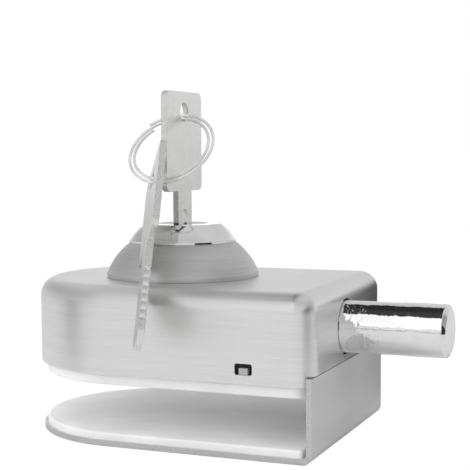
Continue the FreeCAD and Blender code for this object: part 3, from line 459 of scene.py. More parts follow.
class Shader:
    """The node tree of a material or world."""

    def __init__(self, owner):
        self.owner = owner
        owner.use_nodes = True
        self.tree = owner.node_tree
        self.tree.nodes.clear()

    def add(self, kind, values=None, output=0, stops=None, **settings):
        """One node: its settings first, then the values or links of its sockets."""
        node = self.tree.nodes.new(kind)
        for name, setting in settings.items():
            setattr(node, name, setting)
        if stops:
            ramp = node.color_ramp
            while len(ramp.elements) < len(stops):
                ramp.elements.new(0.5)
            for element, (place, shade) in zip(ramp.elements, stops):
                element.position = place
                element.color = (shade, shade, shade, 1)
        for key, value in (values or {}).items():
            if isinstance(value, Signal):
                self.tree.links.new(value.socket, node.inputs[key])
            else:
                node.inputs[key].default_value = value
        return Signal(self, node.outputs[output]) if node.outputs else None

    def split(self, vector):
        """The three numbers of a vector."""
        return [self.add("ShaderNodeSeparateXYZ", {0: vector}, output=i) for i in range(3)]

    def levels(self, factor, stops):
        """A number that runs straight from one (place, level) to the next."""
        return self.add("ShaderNodeValToRGB", {"Fac": factor}, stops=stops)

    def place(self, source, scale=(1, 1, 1)):
        """Object or UV coordinates, stretched."""
        spot = self.add("ShaderNodeTexCoord", output=source)
        return self.add("ShaderNodeMapping", {"Vector": spot, "Scale": scale})

    def noise(self, vector, scale, detail, roughness):
        """Soft noise around a half."""
        return self.add("ShaderNodeTexNoise", {"Vector": vector, "Scale": scale, "Detail": detail,
                                               "Roughness": roughness})

    def ramp(self, factor, low, high, dark=0.0, light=1.0):
        """A smooth step from dark at low to light at high."""
        values = {"Value": factor, "From Min": low, "From Max": high, "To Min": dark, "To Max": light}
        return self.add("ShaderNodeMapRange", values, interpolation_type="SMOOTHSTEP")

    def blend(self, factor, first, second):
        """The first colour where the factor is 0, the second where it is 1."""
        values = {0: factor, 6: first, 7: second}
        return self.add("ShaderNodeMix", values, output=2, data_type="RGBA")

    def tint(self, factor, colour, dark, light):
        """A colour that goes from dark to light times itself with the factor."""
        return self.blend(factor, shade_of(colour, dark), shade_of(colour, light))

    def bump(self, height, distance, below=None):
        """Fine relief, on top of the relief below."""
        values = {"Height": height, "Distance": distance}
        if below:
            values["Normal"] = below
        return self.add("ShaderNodeBump", values)

    def finish(self, colour, rough, normal=None, metallic=1.0, **more):
        """Shades the material and gives it back."""
        values = {"Base Color": colour, "Roughness": rough, "Metallic": metallic, **more}
        if normal:
            values["Normal"] = normal
        shade = self.add("ShaderNodeBsdfPrincipled", values)
        self.add("ShaderNodeOutputMaterial", {"Surface": shade})
        return self.owner


def new_shader(name):
    """The empty node tree of a new material."""
    return Shader(bpy.data.materials.new(name))


def shade_of(colour, factor):
    """A colour made lighter or darker, with full alpha."""
    return (*(min(c * factor, 1) for c in colour), 1)


def brushed_steel(name, colour, lines=(45, 3600, 1), roughness=(0.32, 0.44), depth=0.006 * MM, contrast=0.06,
                  metallic=1.0):
    """Steel with fine lines along the first coordinate, faint wider streaks and soft blotches."""
    shader = new_shader(name)
    fine = shader.noise(shader.place("UV", lines), 1, 4, 0.6)
    streak = shader.noise(shader.place("UV", (lines[0] * 0.3, lines[1] * 0.12, lines[2])), 1, 2, 0.5)
    cloud = shader.noise(shader.place("Object", (55, 55, 55)), 1, 2, 0.5)
    mask = shader.ramp(fine * 0.45 + streak * 0.3 + cloud * 0.25, 0.34, 0.66)
    shade = shader.tint(mask, colour, 1 - contrast, 1 + contrast)
    rough = shader.ramp(fine * 0.6 + cloud * 0.4, 0.3, 0.7, *roughness)
    return shader.finish(shade, rough, shader.bump(fine + streak * 0.6, depth), metallic)


def chrome(name, colour, roughness=(0.05, 0.10), ripple=0.09 * MM, size=450, fine=0.008 * MM,
           smooth_from=None, metallic=1.0):
    """Plating over a surface that was not polished flat: shallow ripples, fine pits and faint stains. Past the
    place smooth_from along x the metal was turned smooth before it was plated."""
    shader = new_shader(name)
    spot = shader.place("Object")
    wave = shader.noise(spot, size, 2, 0.5)
    pit = shader.noise(spot, size * 4, 3, 0.6)
    stain = shader.noise(spot, size * 0.2, 3, 0.6)
    if smooth_from is not None:
        rough_part = 1 - shader.ramp(shader.split(spot)[0], smooth_from, smooth_from + 0.1 * MM)
        wave, pit = wave * rough_part, pit * rough_part
    shade = shader.tint(shader.ramp(stain, 0.35, 0.7), colour, 0.93, 1.05)
    rough = shader.ramp(stain * 0.6 + pit * 0.4, 0.35, 0.7, *roughness)
    return shader.finish(shade, rough, shader.bump(pit, fine, below=shader.bump(wave, ripple)), metallic)


def sheared_edge(name, colour):
    """The torn face that a shear leaves: bright, pitted and rough."""
    shader = new_shader(name)
    grain = shader.noise(shader.place("Object", (1600, 1600, 1600)), 1, 4, 0.65)
    smear = shader.noise(shader.place("Object", (700, 700, 2400)), 1, 3, 0.6)
    tone = grain * 0.5 + smear * 0.5
    shade = shader.tint(shader.ramp(tone, 0.36, 0.6), colour, 0.88, 1.02)
    return shader.finish(shade, shader.ramp(tone, 0.35, 0.65, 0.42, 0.26), shader.bump(tone, 0.02 * MM))


def cut_edge(name, colour):
    """The milled edge of a key: bright, with a fine grain and a few dark pits."""
    shader = new_shader(name)
    spot = shader.place("Object")
    pit = shader.ramp(shader.noise(spot, 1500, 3, 0.65), 0.56, 0.66)
    grain = shader.noise(spot, 3000, 2, 0.5)
    shade = shader.tint(pit * 0.3, colour, 1.05, 0.28)
    return shader.finish(shade, shader.ramp(grain, 0.3, 0.7, 0.25, 0.42), shader.bump(grain, 0.002 * MM))


def rubber(name, colour):
    """Soft white rubber: a fine grain, faint smudges and a dull sheen."""
    shader = new_shader(name)
    spot = shader.place("Object")
    grain = shader.noise(spot, 2600, 3, 0.6)
    smudge = shader.noise(spot, 60, 3, 0.55)
    shade = shader.tint(shader.ramp(smudge * 0.8 + grain * 0.2, 0.35, 0.7), colour, 0.93, 1.03)
    rough = shader.ramp(smudge, 0.3, 0.7, 0.55, 0.72)
    return shader.finish(shade, rough, shader.bump(grain, 0.01 * MM), 0.0, **{"Specular IOR Level": 0.35})


def plated(name, colour, roughness=(0.25, 0.4), metallic=1.0):
    """Turned or plated metal of the inner works: an even fine grain with worn patches."""
    shader = new_shader(name)
    spot = shader.place("Object")
    fine = shader.noise(spot, 1200, 3, 0.6)
    worn = shader.noise(spot, 150, 3, 0.6)
    shade = shader.tint(shader.ramp(worn * 0.7 + fine * 0.3, 0.35, 0.65), colour, 0.82, 1.08)
    rough = shader.ramp(worn * 0.5 + fine * 0.5, 0.35, 0.65, *roughness)
    return shader.finish(shade, rough, shader.bump(fine, 0.01 * MM), metallic)


def catch_finish(name, light, dark, tab_depth=1.2 * MM):
    """The tab that shows in the window is bare metal down to tab_depth, and the block behind it is near black:
    painted shade for the dark recess behind the window.
    """
    shader = new_shader(name)
    end = node_box("catch_button")[0][1] + tab_depth
    spot = shader.place("Object")
    tab = 1 - shader.ramp(shader.split(spot)[1], end, end + 0.2 * MM)
    grain = shader.noise(spot, 1500, 3, 0.6)
    # Painted shade: behind the tab the colour goes near black, standing for the shade inside the window's recess.
    shade = shader.blend(tab, shader.tint(grain, dark, 0.8, 1.2), shader.tint(grain, light, 0.85, 1.1))
    return shader.finish(shade, shader.ramp(grain, 0.3, 0.7, 0.4, 0.55), shader.bump(grain, 0.01 * MM), 0.3)


def named_finish(name):
    """A finish by its name, made once."""
    if name in bpy.data.materials:
        return bpy.data.materials[name]
    tones = bpy.context.scene.lock_colours
    smooth_from = node_box("bolt")[1][0] - 0.9 * MM
    maker, colour, settings = {
        "brushed_cover": (brushed_steel, tones.steel, {}),
        "satin_dome": (brushed_steel, tones.dome,
                       dict(lines=(60, 1800, 1), roughness=(0.48, 0.60), depth=0.008 * MM, contrast=0.09)),
        "rolled_bracket": (brushed_steel, tones.bracket,
                           dict(lines=(600, 40, 1), roughness=(0.46, 0.58), contrast=0.04, metallic=0.35)),
        "sheared_edge": (sheared_edge, tones.bracket, {}),
        "bolt_chrome": (chrome, tones.chrome, dict(smooth_from=smooth_from)),
        "collar_chrome": (chrome, tones.chrome,
                          dict(roughness=(0.07, 0.13), ripple=0.004 * MM, size=300, fine=0.002 * MM)),
        "key_nickel": (chrome, tones.nickel,
                       dict(roughness=(0.28, 0.42), ripple=0.03 * MM, size=900, fine=0.05 * MM)),
        "key_edge": (cut_edge, tones.nickel, {}),
        "ring_wire": (chrome, tones.wire,
                      dict(roughness=(0.12, 0.20), ripple=0.001 * MM, size=500, fine=0.0002 * MM, metallic=0.55)),
        "pad_rubber": (rubber, tones.pad, {}),
        "zinc_steel": (plated, tones.zinc, {}),
        "turned_brass": (plated, tones.brass, {}),
        "plug_face": (plated, tones.plug, dict(roughness=(0.22, 0.34))),
        # Painted shade: the block behind the tab is near black for the shade seen through the window.
        "catch_grey": (catch_finish, tones.catch, dict(dark=tones.block_painted_shade)),
        # Painted shade: the housing seen through the window is near black for the shade in its recess.
        "catch_dark": (plated, tones.catch_housing, dict(roughness=(0.5, 0.65), metallic=0.0)),
    }[name]
    return maker(name, colour, **settings)


NODE_FINISH = {
    "catch_button": "catch_grey", "catch_housing": "catch_dark", "cylinder_body": "turned_brass",
    "cylinder_plug": "plug_face", "pinion": "turned_brass", "bolt_bush": "turned_brass",
    "key_pins": "turned_brass", "driver_pins": "turned_brass",
}


# Operators, one for each piece or group of like pieces

class LOCK_OT_inner_works(bpy.types.Operator):
    """Finish the parts inside the cover: cylinder, gears, guide, screws, nuts and springs"""
    bl_idname = "lock.inner_works"
    bl_label = "Inner works"

    def execute(self, context):
        for name, obj in frame["nodes"].items():
            finish = named_finish(NODE_FINISH.get(name, "zinc_steel"))
            if not obj.material_slots:
                obj.data.materials.append(finish)
            for place in obj.material_slots:
                place.material = finish
        return {"FINISHED"}


class LOCK_OT_cover(bpy.types.Operator):
    """Build the brushed cover: a D-shaped shell with a rounded top, its holes, window and notch"""
    bl_idname = "lock.cover"
    bl_label = "Cover"

    def execute(self, context):
        sizes = context.scene.lock_sizes
        low, high = node_box("cover")
        bolt_low, bolt_high = node_box("bolt")
        button_low, button_high = node_box("catch_button")
        cylinder_high = node_box("cylinder_body")[1]
        half, right, wall, edge = high[1], high[0], sizes.cover_wall, sizes.cover_edge
        left_centre = low[0] + half
        rim, top = low[2], high[2]
        lip, slope = 0.2 * MM, 0.06 * MM
        inside = quarter_round(edge - wall, wall, top - wall, 9)[::-1]
        foot = [(wall, rim + lip), (wall - slope, rim + slope), (wall - lip, rim), (lip, rim), (slope, rim + slope),
                (0, rim + lip)]
        points, faces, surface = d_stack(inside + foot + quarter_round(edge, 0, top, 15), half, right,
                                         sizes.cover_corner, left_centre)
        cover = new_piece("cover_shell", points, faces, "lock", ["brushed_cover"], ("cover",), uv=surface)

        bolt_y, bolt_z = (bolt_low[1] + bolt_high[1]) / 2, (bolt_low[2] + bolt_high[2]) / 2
        bolt_hole = (bolt_high[2] - bolt_low[2]) / 2 + sizes.bolt_gap
        web = node_box("clamp_bracket")[1][2]
        reach = 2 * wall
        clear, worn, round_cylinder = 0.1 * MM, 0.1 * MM, 0.3 * MM
        window_x = (button_low[0] + button_high[0]) / 2
        across, tall, corner = sizes.window_wide / 2, sizes.window_high, sizes.window_corner
        window = rounded_polygon([(-across, 0, corner), (across, 0, corner), (across, tall, corner),
                                  (-across, tall, corner)])
        rows = [np.column_stack([window_x + window[:, 0], np.full(len(window), y), web + window[:, 1]])
                for y in (-half - reach, -half + reach)]

        def drill(radius, middle, axis, centre):
            profile = [(0, middle - reach), (radius, middle - reach), (radius, middle + reach), (0, middle + reach)]
            return turned(profile, 96, axis, centre)[:2]

        carve(cover, [
            helper("window", np.concatenate(rows), capped(2, len(window))),
            helper("bolt_hole", *drill(bolt_hole, right, "x", (0, bolt_y, bolt_z))),
            helper("cylinder_hole", *drill(cylinder_high[0] + round_cylinder, top, "z", (0, 0, 0))),
            helper("notch", *box_shape((right - sizes.sheet - clear, -half - reach, rim - reach),
                                       (right + reach, half + reach, web + clear))),
        ])
        map_flat_faces(cover)
        soften(cover, worn)
        return {"FINISHED"}


class LOCK_OT_dome(bpy.types.Operator):
    """Build the satin dome and the polished collar round the key cylinder"""
    bl_idname = "lock.dome"
    bl_label = "Dome and collar"

    def execute(self, context):
        sizes = context.scene.lock_sizes
        low, high = node_box("dome")
        collar_low, collar_high = node_box("collar")
        wall, curve = sizes.dome_wall, sizes.dome_curve
        skirt, fold, slope, round_sleeve = 1.1 * MM, 0.15 * MM, 0.045 * MM, 0.3 * MM
        base, knee, shoulder, top = high[0], low[2] + skirt, collar_high[0], high[2]
        hole = node_box("pin_sleeve")[1][0] + round_sleeve
        ceiling = (shoulder - wall / 2, top - wall)
        outside = [(base - fold, low[2]), (base - slope, low[2] + slope), (base, low[2] + fold), (base, knee - fold),
                   *arc((base - fold / 5, knee), (shoulder, top - fold), curve, 28), (shoulder - fold, top),
                   (hole, top)]
        inside = [(hole, top - wall), ceiling, *arc((base - wall, knee), ceiling, curve, 20)[::-1],
                  (base - wall, low[2])]
        profile = outside + inside
        points, faces, surface = turned(profile + profile[:1], 160)
        new_piece("dome_shell", points, faces, "lock", ["satin_dome"], ("dome",), uv=surface)

        socket, mouth, brim = sizes.collar_socket, sizes.collar_mouth, sizes.collar_brim
        foot, peak = collar_low[2], collar_high[2]
        ledge = node_box("cylinder_body")[1][2]
        soft = 0.12 * MM
        band = foot + 0.7 * MM
        profile = [(socket, foot), (shoulder - soft, foot), (shoulder, foot + soft), (shoulder, foot + 1.5 * soft),
                   (shoulder, band - 1.5 * soft), (shoulder, band - soft),
                   *arc((shoulder - soft, band), (brim + soft, peak - soft), sizes.collar_curve, 20), (brim, peak),
                   (mouth + 3 * soft, peak), (mouth + soft, peak - soft), (mouth, peak - 3 * soft), (mouth, ledge),
                   (socket, ledge)]
        points, faces, surface = turned(profile + profile[:1], 160)
        even_shading(new_piece("collar_ring", points, faces, "lock", ["collar_chrome"], ("collar",),
                               uv=surface))
        return {"FINISHED"}


class LOCK_OT_bolt(bpy.types.Operator):
    """Build the chromed bolt with its chamfered tip"""
    bl_idname = "lock.bolt"
    bl_label = "Bolt"

    def execute(self, context):
        sizes = context.scene.lock_sizes
        low, high = node_box("bolt")
        shank = (high[2] - low[2]) / 2
        radius = shank - sizes.bolt_step
        chamfer, soft, slope, showing = sizes.bolt_chamfer, 0.18 * MM, 0.054 * MM, 0.1 * MM
        shoulder = node_box("cover")[1][0] + showing
        y, z = (low[1] + high[1]) / 2, (low[2] + high[2]) / 2
        tip = high[0]
        profile = [(0, low[0]), (shank - soft, low[0]), (shank, low[0] + soft), (shank, shoulder - soft / 3),
                   (radius, shoulder), (radius, tip - chamfer - 2 * soft), (radius, tip - chamfer - soft),
                   (radius - slope, tip - chamfer), (radius - chamfer + slope, tip - soft),
                   (radius - chamfer - soft, tip), (radius - chamfer - 4 * soft, tip), (0, tip)]
        points, faces, surface = turned(profile, 128, "x", (0, y, z))
        bolt = new_piece("bolt_bar", points, faces, "bolt", ["bolt_chrome"], ("bolt",), uv=surface,
                         sharp=28)
        # Its tail is flat below, where it lies on the rack.
        rack_end, shelf, past, clear = node_box("rack")[1][0], 25.4 * MM, 2 * MM, 0.1 * MM
        carve(bolt, [helper("flat", *box_shape((low[0] - past, y - 2 * radius, z - 2 * radius),
                                               (rack_end + clear, y + 2 * radius, shelf)))], sharp=28)
        even_shading(bolt)
        return {"FINISHED"}


def slab(xs, across, half, left_centre, right, edge, low, high):
    """A plate with a half-round left end, seen from above as y between -w(x) and w(x), where w is the half width
    and falls off on a circle left of left_centre. Its rim is a quarter round above and below. The rim has the
    second finish."""
    def loop(inset, z):
        radius = half - inset
        tip = left_centre - radius
        x = tip + (xs - xs[0]) / (xs[-1] - xs[0]) * (right - inset - tip)
        w = np.sqrt(radius ** 2 - np.clip(left_centre - x, 0, radius) ** 2)
        front = np.stack([x, -w], axis=-1)
        end = np.stack([np.full(len(across), x[-1]), across * w[-1]], axis=-1)
        back = np.stack([x, w], axis=-1)[::-1]
        ring = np.concatenate([front, end[1:-1], back[:-1]])
        return np.column_stack([ring, np.full(len(ring), z)]), x, w

    profile = rounded_rim(edge, low, high, 6)
    rings = np.stack([loop(inset, z)[0] for inset, z in profile])
    count = rings.shape[1]
    points = [rings.reshape(-1, 3)]
    faces = face_grid(len(profile), count, closed=True).tolist()
    sides = len(faces)
    for (inset, z), up in ((profile[0], False), (profile[-1], True)):
        _, x, w = loop(inset, z)
        grid = np.stack([x[:, None] + 0 * across, w[:, None] * across, np.full((len(x), len(across)), z)], axis=-1)
        quads = face_grid(len(x), len(across)) + sum(len(p) for p in points)
        faces += (quads[:, ::-1] if up else quads).tolist()
        points.append(grid.reshape(-1, 3))
    slots = [1] * sides + [0] * (len(faces) - sides)
    return np.concatenate(points), faces, slots


def spaced(left, left_centre, right, extra=()):
    """Places along a plate: close together towards the half-round tip, then even."""
    turn = np.linspace(0, math.pi / 2, 40)
    tip = left_centre - (left_centre - left) * np.cos(turn)
    rest = np.linspace(left_centre, right, 12)[1:]
    return np.unique(np.concatenate([tip, rest, np.asarray(extra, float)]))


class LOCK_OT_bracket(bpy.types.Operator):
    """Build the bracket: a sheet with a half-round end, bent up into the web, and the plate on top of the web"""
    bl_idname = "lock.bracket"
    bl_label = "Bracket"

    def execute(self, context):
        sizes = context.scene.lock_sizes
        low, high = node_box("clamp_bracket")
        half, sheet, bend = high[1], sizes.sheet, sizes.bend
        left_centre = low[0] + half
        outer = bend + sheet
        start = high[0] - outer
        middle = bend + sheet / 2
        arc_long = middle * math.pi / 2
        end = start + arc_long + (high[2] - outer)
        xs = spaced(low[0], left_centre, end, [start, *(start + arc_long * np.linspace(0, 1, 13)[1:])])
        across = np.linspace(-1, 1, 9)
        sheet_edge, plate_edge, inset = 0.12 * MM, 0.1 * MM, 1.0 * MM
        points, faces, slots = slab(xs, across, half, left_centre, end, sheet_edge, 0, sheet)
        flat_map = points[:, :2].copy()
        # The sheet is bent about a line above its upper side: past the start of the bend, distance along the
        # sheet becomes an angle, and past the bend's end it becomes height.
        along = np.clip(points[:, 0] - start, 0, arc_long)
        turn = along / middle
        radius = outer - points[:, 2]
        beyond = np.maximum(points[:, 0] - start - arc_long, 0)
        bent = points[:, 0] > start
        x = np.where(bent, start + radius * np.sin(turn), points[:, 0])
        z = np.where(bent, outer - radius * np.cos(turn) + beyond, points[:, 2])
        points = np.column_stack([x, points[:, 1], z])
        finishes = ["rolled_bracket", "sheared_edge"]
        even_shading(new_piece("bent_sheet", points, faces, "lock", finishes, ("clamp_bracket",),
                               uv=flat_map, face_slots=slots))

        right, plate_low = high[0] - sheet, high[2] - sheet
        xs = spaced(low[0] + inset, left_centre, right)
        points, faces, slots = slab(xs, across, half - inset, left_centre, right, plate_edge, plate_low, high[2])
        even_shading(new_piece("upper_plate", points, faces, "lock", finishes, ("clamp_bracket",),
                               uv=points[:, :2], face_slots=slots))
        return {"FINISHED"}


class LOCK_OT_pads(bpy.types.Operator):
    """Build the two soft white pads that grip the glass"""
    bl_idname = "lock.pads"
    bl_label = "Pads"

    def execute(self, context):
        edge = context.scene.lock_sizes.pad_edge
        for name, corner in (("lower_pad", 0.8 * MM), ("upper_pad", 4 * MM)):
            low, high = node_box(name)
            half = high[1]
            profile = [(0, low[2])] + quarter_round(edge, 0, high[2], 8)
            if name == "upper_pad":
                profile = [(inset, low[2] + high[2] - z) for inset, z in profile[::-1]]
            points, faces, surface = d_stack(profile, half, high[0], corner, low[0] + half)
            even_shading(new_piece(name + "_rubber", points, faces, "lock", ["pad_rubber"], (name,),
                                   uv=surface))
        return {"FINISHED"}


def key_shape(sizes):
    """A flat key in its own frame: thickness along x, width along y, the blade's shoulder at z = 0. Its outline, with
    the notches in both edges of the blade, is carried through the thickness with a small round at either face. The
    hole and dents are cut after."""
    bow, blade, point = sizes.bow_wide / 2, sizes.blade_wide / 2, sizes.blade_point
    tall, down, corner = sizes.bow_high, sizes.blade_long, sizes.bow_corner
    tip, heel, neck, notch_rim, notch_floor, soft = np.array([0.4, 0.5, 0.3, 0.2, 0.3, 0.14]) * MM
    reach = sizes.notch_pitch * 0.34
    cuts = []
    for i in reversed(range(NOTCHES)):
        middle = -sizes.notch_first - i * sizes.notch_pitch
        cuts += [(blade, middle - reach, notch_rim), (blade - sizes.notch_deep, middle, notch_floor),
                 (blade, middle + reach, notch_rim)]
    side = [(blade - point, -down, tip), (blade, point - down, heel), *cuts, (blade, 0, neck), (bow, 0, corner),
            (bow, tall, corner)]
    other = [(-y, z, radius) for y, z, radius in side]
    outline = rounded_polygon([other[0], *side, *other[:0:-1]])
    inside = inward(outline)
    profile = rounded_rim(soft, -sizes.key_thick / 2, sizes.key_thick / 2, 4)
    rings = [np.column_stack([np.full(len(outline), x), outline + inside * inset]) for inset, x in profile]
    faces = capped(len(profile), len(outline))
    return np.concatenate(rings), faces, [1] * (len(faces) - 2) + [0, 0]


def key_cutters(sizes, place):
    """The hole in the bow and the dents in the blade, moved by a placement."""
    thick, hole, lead = sizes.key_thick, sizes.key_hole, 0.25 * MM
    half = thick / 2
    profile = [(0, -thick), (hole + half + lead, -thick), (hole + lead, -half), (hole, lead - half),
               (hole, half - lead), (hole + lead, half), (hole + half + lead, thick), (0, thick)]
    shapes = [turned(profile, 48, "x", (0, 0, sizes.bow_high - sizes.hole_down))]
    # Each dent is the cap of a ball of radius (cup squared + depth squared) / (2 depth).
    cup, depth = sizes.dent_wide, sizes.dent_deep
    ball = (cup ** 2 + depth ** 2) / (2 * depth)
    bead = [(ball * math.sin(a), -ball * math.cos(a)) for a in np.linspace(0, math.pi, 12)]
    for i in range(DENTS):
        for side in (-1, 1):
            spot = (side * (half + ball - depth), 0, -sizes.dent_first - i * sizes.dent_pitch)
            shapes.append(turned(bead, 24, "x", spot))
    return [helper("key_cut", points @ place[:3, :3].T + place[:3, 3], faces) for points, faces, _ in shapes]


class LOCK_OT_keys(bpy.types.Operator):
    """Build the key in the lock and the spare key on the ring"""
    bl_idname = "lock.keys"
    bl_label = "Keys"

    def execute(self, context):
        sizes = context.scene.lock_sizes
        upright = np.eye(4)
        upright[2, 3] = node_box("key")[1][2] - sizes.bow_high
        turn = (Matrix.Rotation(sizes.spare_yaw, 3, "Z") @ Matrix.Rotation(-sizes.spare_lean, 3, "X")
                @ Matrix.Rotation(sizes.spare_roll, 3, "Y"))
        hanging = np.eye(4)
        hanging[:3, :3] = np.array(turn)
        hole = np.array([0, 0, sizes.bow_high - sizes.hole_down])
        hanging[:3, 3] = np.array(joint("spare_swing")["pos_m"]) - hanging[:3, :3] @ hole
        for name, body, place in (("key", "key", upright), ("spare_key", "spare", hanging)):
            points, faces, slots = key_shape(sizes)
            points = points @ place[:3, :3].T + place[:3, 3]
            key = new_piece(name + "_blank", points, faces, body, ["key_nickel", "key_edge"], (name,),
                            face_slots=slots)
            carve(key, key_cutters(sizes, place), sharp=30)
            even_shading(key)
        return {"FINISHED"}


class LOCK_OT_ring(bpy.types.Operator):
    """Build the split ring: two flat turns of wire that hold the spare key to the first"""
    bl_idname = "lock.ring"
    bl_label = "Split ring"

    def execute(self, context):
        sizes = context.scene.lock_sizes
        lean, seat, step = sizes.ring_lean, sizes.ring_seat, sizes.ring_step
        hole_z = joint("ring_swing")["pos_m"][2]
        slack = 0.1 * MM
        rest = sizes.key_hole - sizes.wire / 2 - slack
        hold = np.array([0, rest * math.sin(seat), hole_z - rest * math.cos(seat)])
        across = np.array([1, 0, 0])
        up = np.array([0, math.sin(lean), math.cos(lean)])
        opening = sizes.ring_opening
        shift = step * np.array([math.cos(opening), math.sin(opening)])
        reach = math.sqrt((sizes.ring_first + step) ** 2 - shift[0] ** 2) + shift[1]
        centre = hold - reach * up
        # Half turns about two centres a step apart, so that the radius grows by a step at each half turn.
        turn = np.linspace(0, 4 * math.pi, 385)
        half_turn = np.minimum((turn / math.pi).astype(int), 3)
        radius = sizes.ring_first + step * half_turn
        odd = (half_turn % 2)[:, None] * shift
        flat = odd + radius[:, None] * np.stack([np.cos(opening + turn), np.sin(opening + turn)], axis=-1)
        path = centre + flat[:, :1] * across + flat[:, 1:] * up
        points, faces = tube(path, sizes.wire / 2, np.cross(across, up))
        new_piece("ring_coil", points, faces, "ring", ["ring_wire"], ("split_ring",))
        return {"FINISHED"}


class LOCK_OT_spring(bpy.types.Operator):
    """Build the catch's coil spring"""
    bl_idname = "lock.spring"
    bl_label = "Catch spring"

    def execute(self, context):
        wire = context.scene.lock_sizes.spring_wire
        low, high = node_box("catch_spring")
        middle, length = (low + high) / 2, high[1] - low[1]
        coil = (high[0] - low[0] - wire) / 2
        angle = np.linspace(0, 2 * math.pi * SPRING_TURNS, int(SPRING_TURNS * 48) + 1)
        outward = np.stack([np.sin(angle), 0 * angle, np.cos(angle)], axis=-1)
        path = [middle[0], low[1] + wire / 2, middle[2]] + coil * outward
        path[:, 1] += (length - wire) * angle / angle[-1]
        points, faces = tube(path, wire / 2, outward, 12)
        spring = new_piece("catch_coil", points, faces, "catch", ["zinc_steel"], ("catch_spring",))
        travel = max(joint("catch_press")["range_m"])
        (length - travel) / length
        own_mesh(spring)
        return {"FINISHED"}


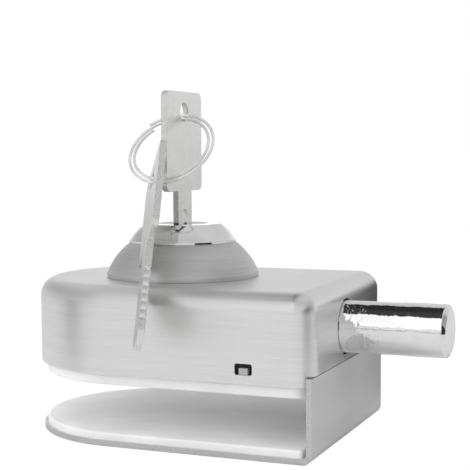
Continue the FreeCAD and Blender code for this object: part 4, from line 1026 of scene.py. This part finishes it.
class LOCK_OT_stage(bpy.types.Operator):
    """Build the studio: a pale floor, soft lamps and the camera"""
    bl_idname = "lock.stage"
    bl_label = "Stage"

    def execute(self, context):
        scene = context.scene
        scene.view_settings.view_transform = "Standard"
        self.floor(scene)
        self.world(scene)
        self.lamps(scene)
        self.camera(scene)
        return {"FINISHED"}

    def floor(self, scene):
        """A disc under the lock, wider than the camera can see, and dark cards that only metal mirrors: two behind
        the bolt, one on the right and one on the left and front."""
        angle = np.linspace(0, 2 * math.pi, 64, endpoint=False)
        shapes = {"floor": np.stack([np.cos(angle), np.sin(angle), 0 * angle], axis=-1) * FLOOR_RADIUS}
        for name, left, right, height in CARDS:
            shapes[name] = [[*left, 0], [*right, 0], [*right, height], [*left, height]]
        pale, dark = self.pale_floor(scene.lock_colours.floor), self.dark_card()
        for name, points in shapes.items():
            obj = mesh_object(name, points, [range(len(points))])
            obj.data.materials.append(pale if name == "floor" else dark)
            for kind in ("camera", "diffuse", "shadow"):
                setattr(obj, "visible_" + kind, name == "floor")

    def pale_floor(self, colour, lift=0.92, strength=1.05):
        """A plain matt floor, lifted almost to white for the camera alone."""
        shader = new_shader("studio_floor")
        cloud = shader.noise(shader.place("Object", (3, 3, 3)), 1, 2, 0.5)
        shade = shader.tint(shader.ramp(cloud, 0.3, 0.7), colour, 0.985, 1.0)
        rays = shader.add("ShaderNodeLightPath", output="Is Camera Ray")
        matt = shader.add("ShaderNodeBsdfPrincipled", {"Base Color": shade, "Roughness": 0.85,
                                                       "Specular IOR Level": 0.2})
        glow = shader.add("ShaderNodeEmission", {"Color": (1, 1, 1, 1), "Strength": strength})
        surface = shader.add("ShaderNodeMixShader", {0: rays * lift, 1: matt, 2: glow})
        shader.add("ShaderNodeOutputMaterial", {"Surface": surface})
        return shader.owner

    def dark_card(self):
        """Black cloth."""
        shader = new_shader("dark_card")
        cloth = shader.noise(shader.place("Object", (400, 400, 400)), 1, 3, 0.6)
        shade = shader.blend(cloth, (0.02, 0.02, 0.02, 1), (0.035, 0.035, 0.035, 1))
        return shader.finish(shade, 0.9, metallic=0.0)

    def world(self, scene):
        """White for the camera. What metal mirrors is a studio: a lit wall behind the lock, a bright front, a dark
        panel overhead and, for the bolt, a bright strip in front above a low height. The right end is dimmer."""
        scene.world = scene.world or bpy.data.worlds.new("studio")
        shader = Shader(scene.world)
        side, depth, height = shader.split(shader.add("ShaderNodeTexCoord", output="Generated"))
        # The panel and the bright strip reach from left to right of the directions that the bolt mirrors.
        strip = shader.ramp(side, -0.36, -0.30) - shader.ramp(side, -0.06, 0.0)
        panel = shader.ramp(height + depth * 0.09, 0.825, 0.85) * strip * 0.96
        bright = shader.ramp(height, 0.2, 0.26) * strip
        behind = shader.ramp(depth, -0.1, 0.1)
        wall = shader.levels(height, WALL_LEVELS) * behind
        front = shader.levels(height, FRONT_LEVELS) * (1 - behind) * (1 + bright)
        ends = shader.levels(side * 0.5 + 0.5, SIDE_LEVELS)
        rays = shader.add("ShaderNodeLightPath", output="Is Camera Ray")
        lit = shader.add("ShaderNodeBackground", {"Strength": (front + wall) * (1 - panel) * ends})
        seen = shader.add("ShaderNodeBackground", {"Color": (1, 1, 1, 1), "Strength": 1.0})
        mix = shader.add("ShaderNodeMixShader", {0: rays, 1: lit, 2: seen})
        shader.add("ShaderNodeOutputWorld", {"Surface": mix})

    def lamps(self, scene):
        """Large soft panels: one above, one to the left and front, and a weaker one on the right."""
        for name, place, aim, wide, tall, power in LAMPS:
            lamp = bpy.data.lights.new(name, "AREA")
            lamp.shape = "RECTANGLE"
            lamp.size, lamp.size_y, lamp.energy = wide, tall, power
            obj = bpy.data.objects.new(name, lamp)
            scene.collection.objects.link(obj)
            obj.location = place
            obj.visible_glossy = name == "lamp_right"
            obj.rotation_euler = (Vector(place) - Vector(aim)).to_track_quat("Z", "Y").to_euler()

    def camera(self, scene):
        """The photograph's view: from the front and a little to the right, slightly above."""
        lens = bpy.data.cameras.new("camera")
        lens.lens, lens.sensor_width = CAMERA_LENS, CAMERA_SENSOR
        lens.shift_x, lens.shift_y = CAMERA_SHIFT
        lens.clip_start, lens.clip_end = 0.01, 2.5 * FLOOR_RADIUS
        camera = bpy.data.objects.new("camera", lens)
        scene.collection.objects.link(camera)
        yaw, pitch, roll = map(math.radians, (CAMERA_YAW, CAMERA_PITCH, CAMERA_ROLL))
        turn = (Matrix.Rotation(yaw, 4, "Z") @ Matrix.Rotation(math.pi / 2 - pitch, 4, "X")
                @ Matrix.Rotation(roll, 4, "Z"))
        camera.matrix_world = Matrix.Translation(CAMERA_PLACE) @ turn
        scene.camera = camera


OPERATORS = (LOCK_OT_inner_works, LOCK_OT_cover, LOCK_OT_dome, LOCK_OT_bolt, LOCK_OT_bracket, LOCK_OT_pads,
             LOCK_OT_keys, LOCK_OT_ring, LOCK_OT_spring, LOCK_OT_stage)


class LOCK_PT_panel(bpy.types.Panel):
    """The lock's pieces, sizes and colours"""
    bl_idname = "LOCK_PT_panel"
    bl_label = "Glass door lock"
    bl_space_type = "VIEW_3D"
    bl_region_type = "UI"
    bl_category = "Lock"

    def draw(self, context):
        column = self.layout.column(align=True)
        for operator in OPERATORS:
            column.operator(operator.bl_idname)
        for group in (context.scene.lock_sizes, context.scene.lock_colours):
            box = self.layout.box()
            for name in group.__annotations__:
                box.prop(group, name)


CLASSES = (LockSizes, LockColours, *OPERATORS, LOCK_PT_panel)


def register():
    for cls in CLASSES:
        bpy.utils.register_class(cls)
    bpy.types.Scene.lock_sizes = PointerProperty(type=LockSizes)
    bpy.types.Scene.lock_colours = PointerProperty(type=LockColours)


def unregister():
    del bpy.types.Scene.lock_colours
    del bpy.types.Scene.lock_sizes
    for cls in reversed(CLASSES):
        bpy.utils.unregister_class(cls)


def main():
    register()
    bpy.ops.lock.inner_works()
    bpy.ops.lock.cover()
    bpy.ops.lock.dome()
    bpy.ops.lock.bolt()
    bpy.ops.lock.bracket()
    bpy.ops.lock.pads()
    bpy.ops.lock.keys()
    bpy.ops.lock.ring()
    bpy.ops.lock.spring()
    bpy.ops.lock.stage()


if __name__ == "__main__":
    main()
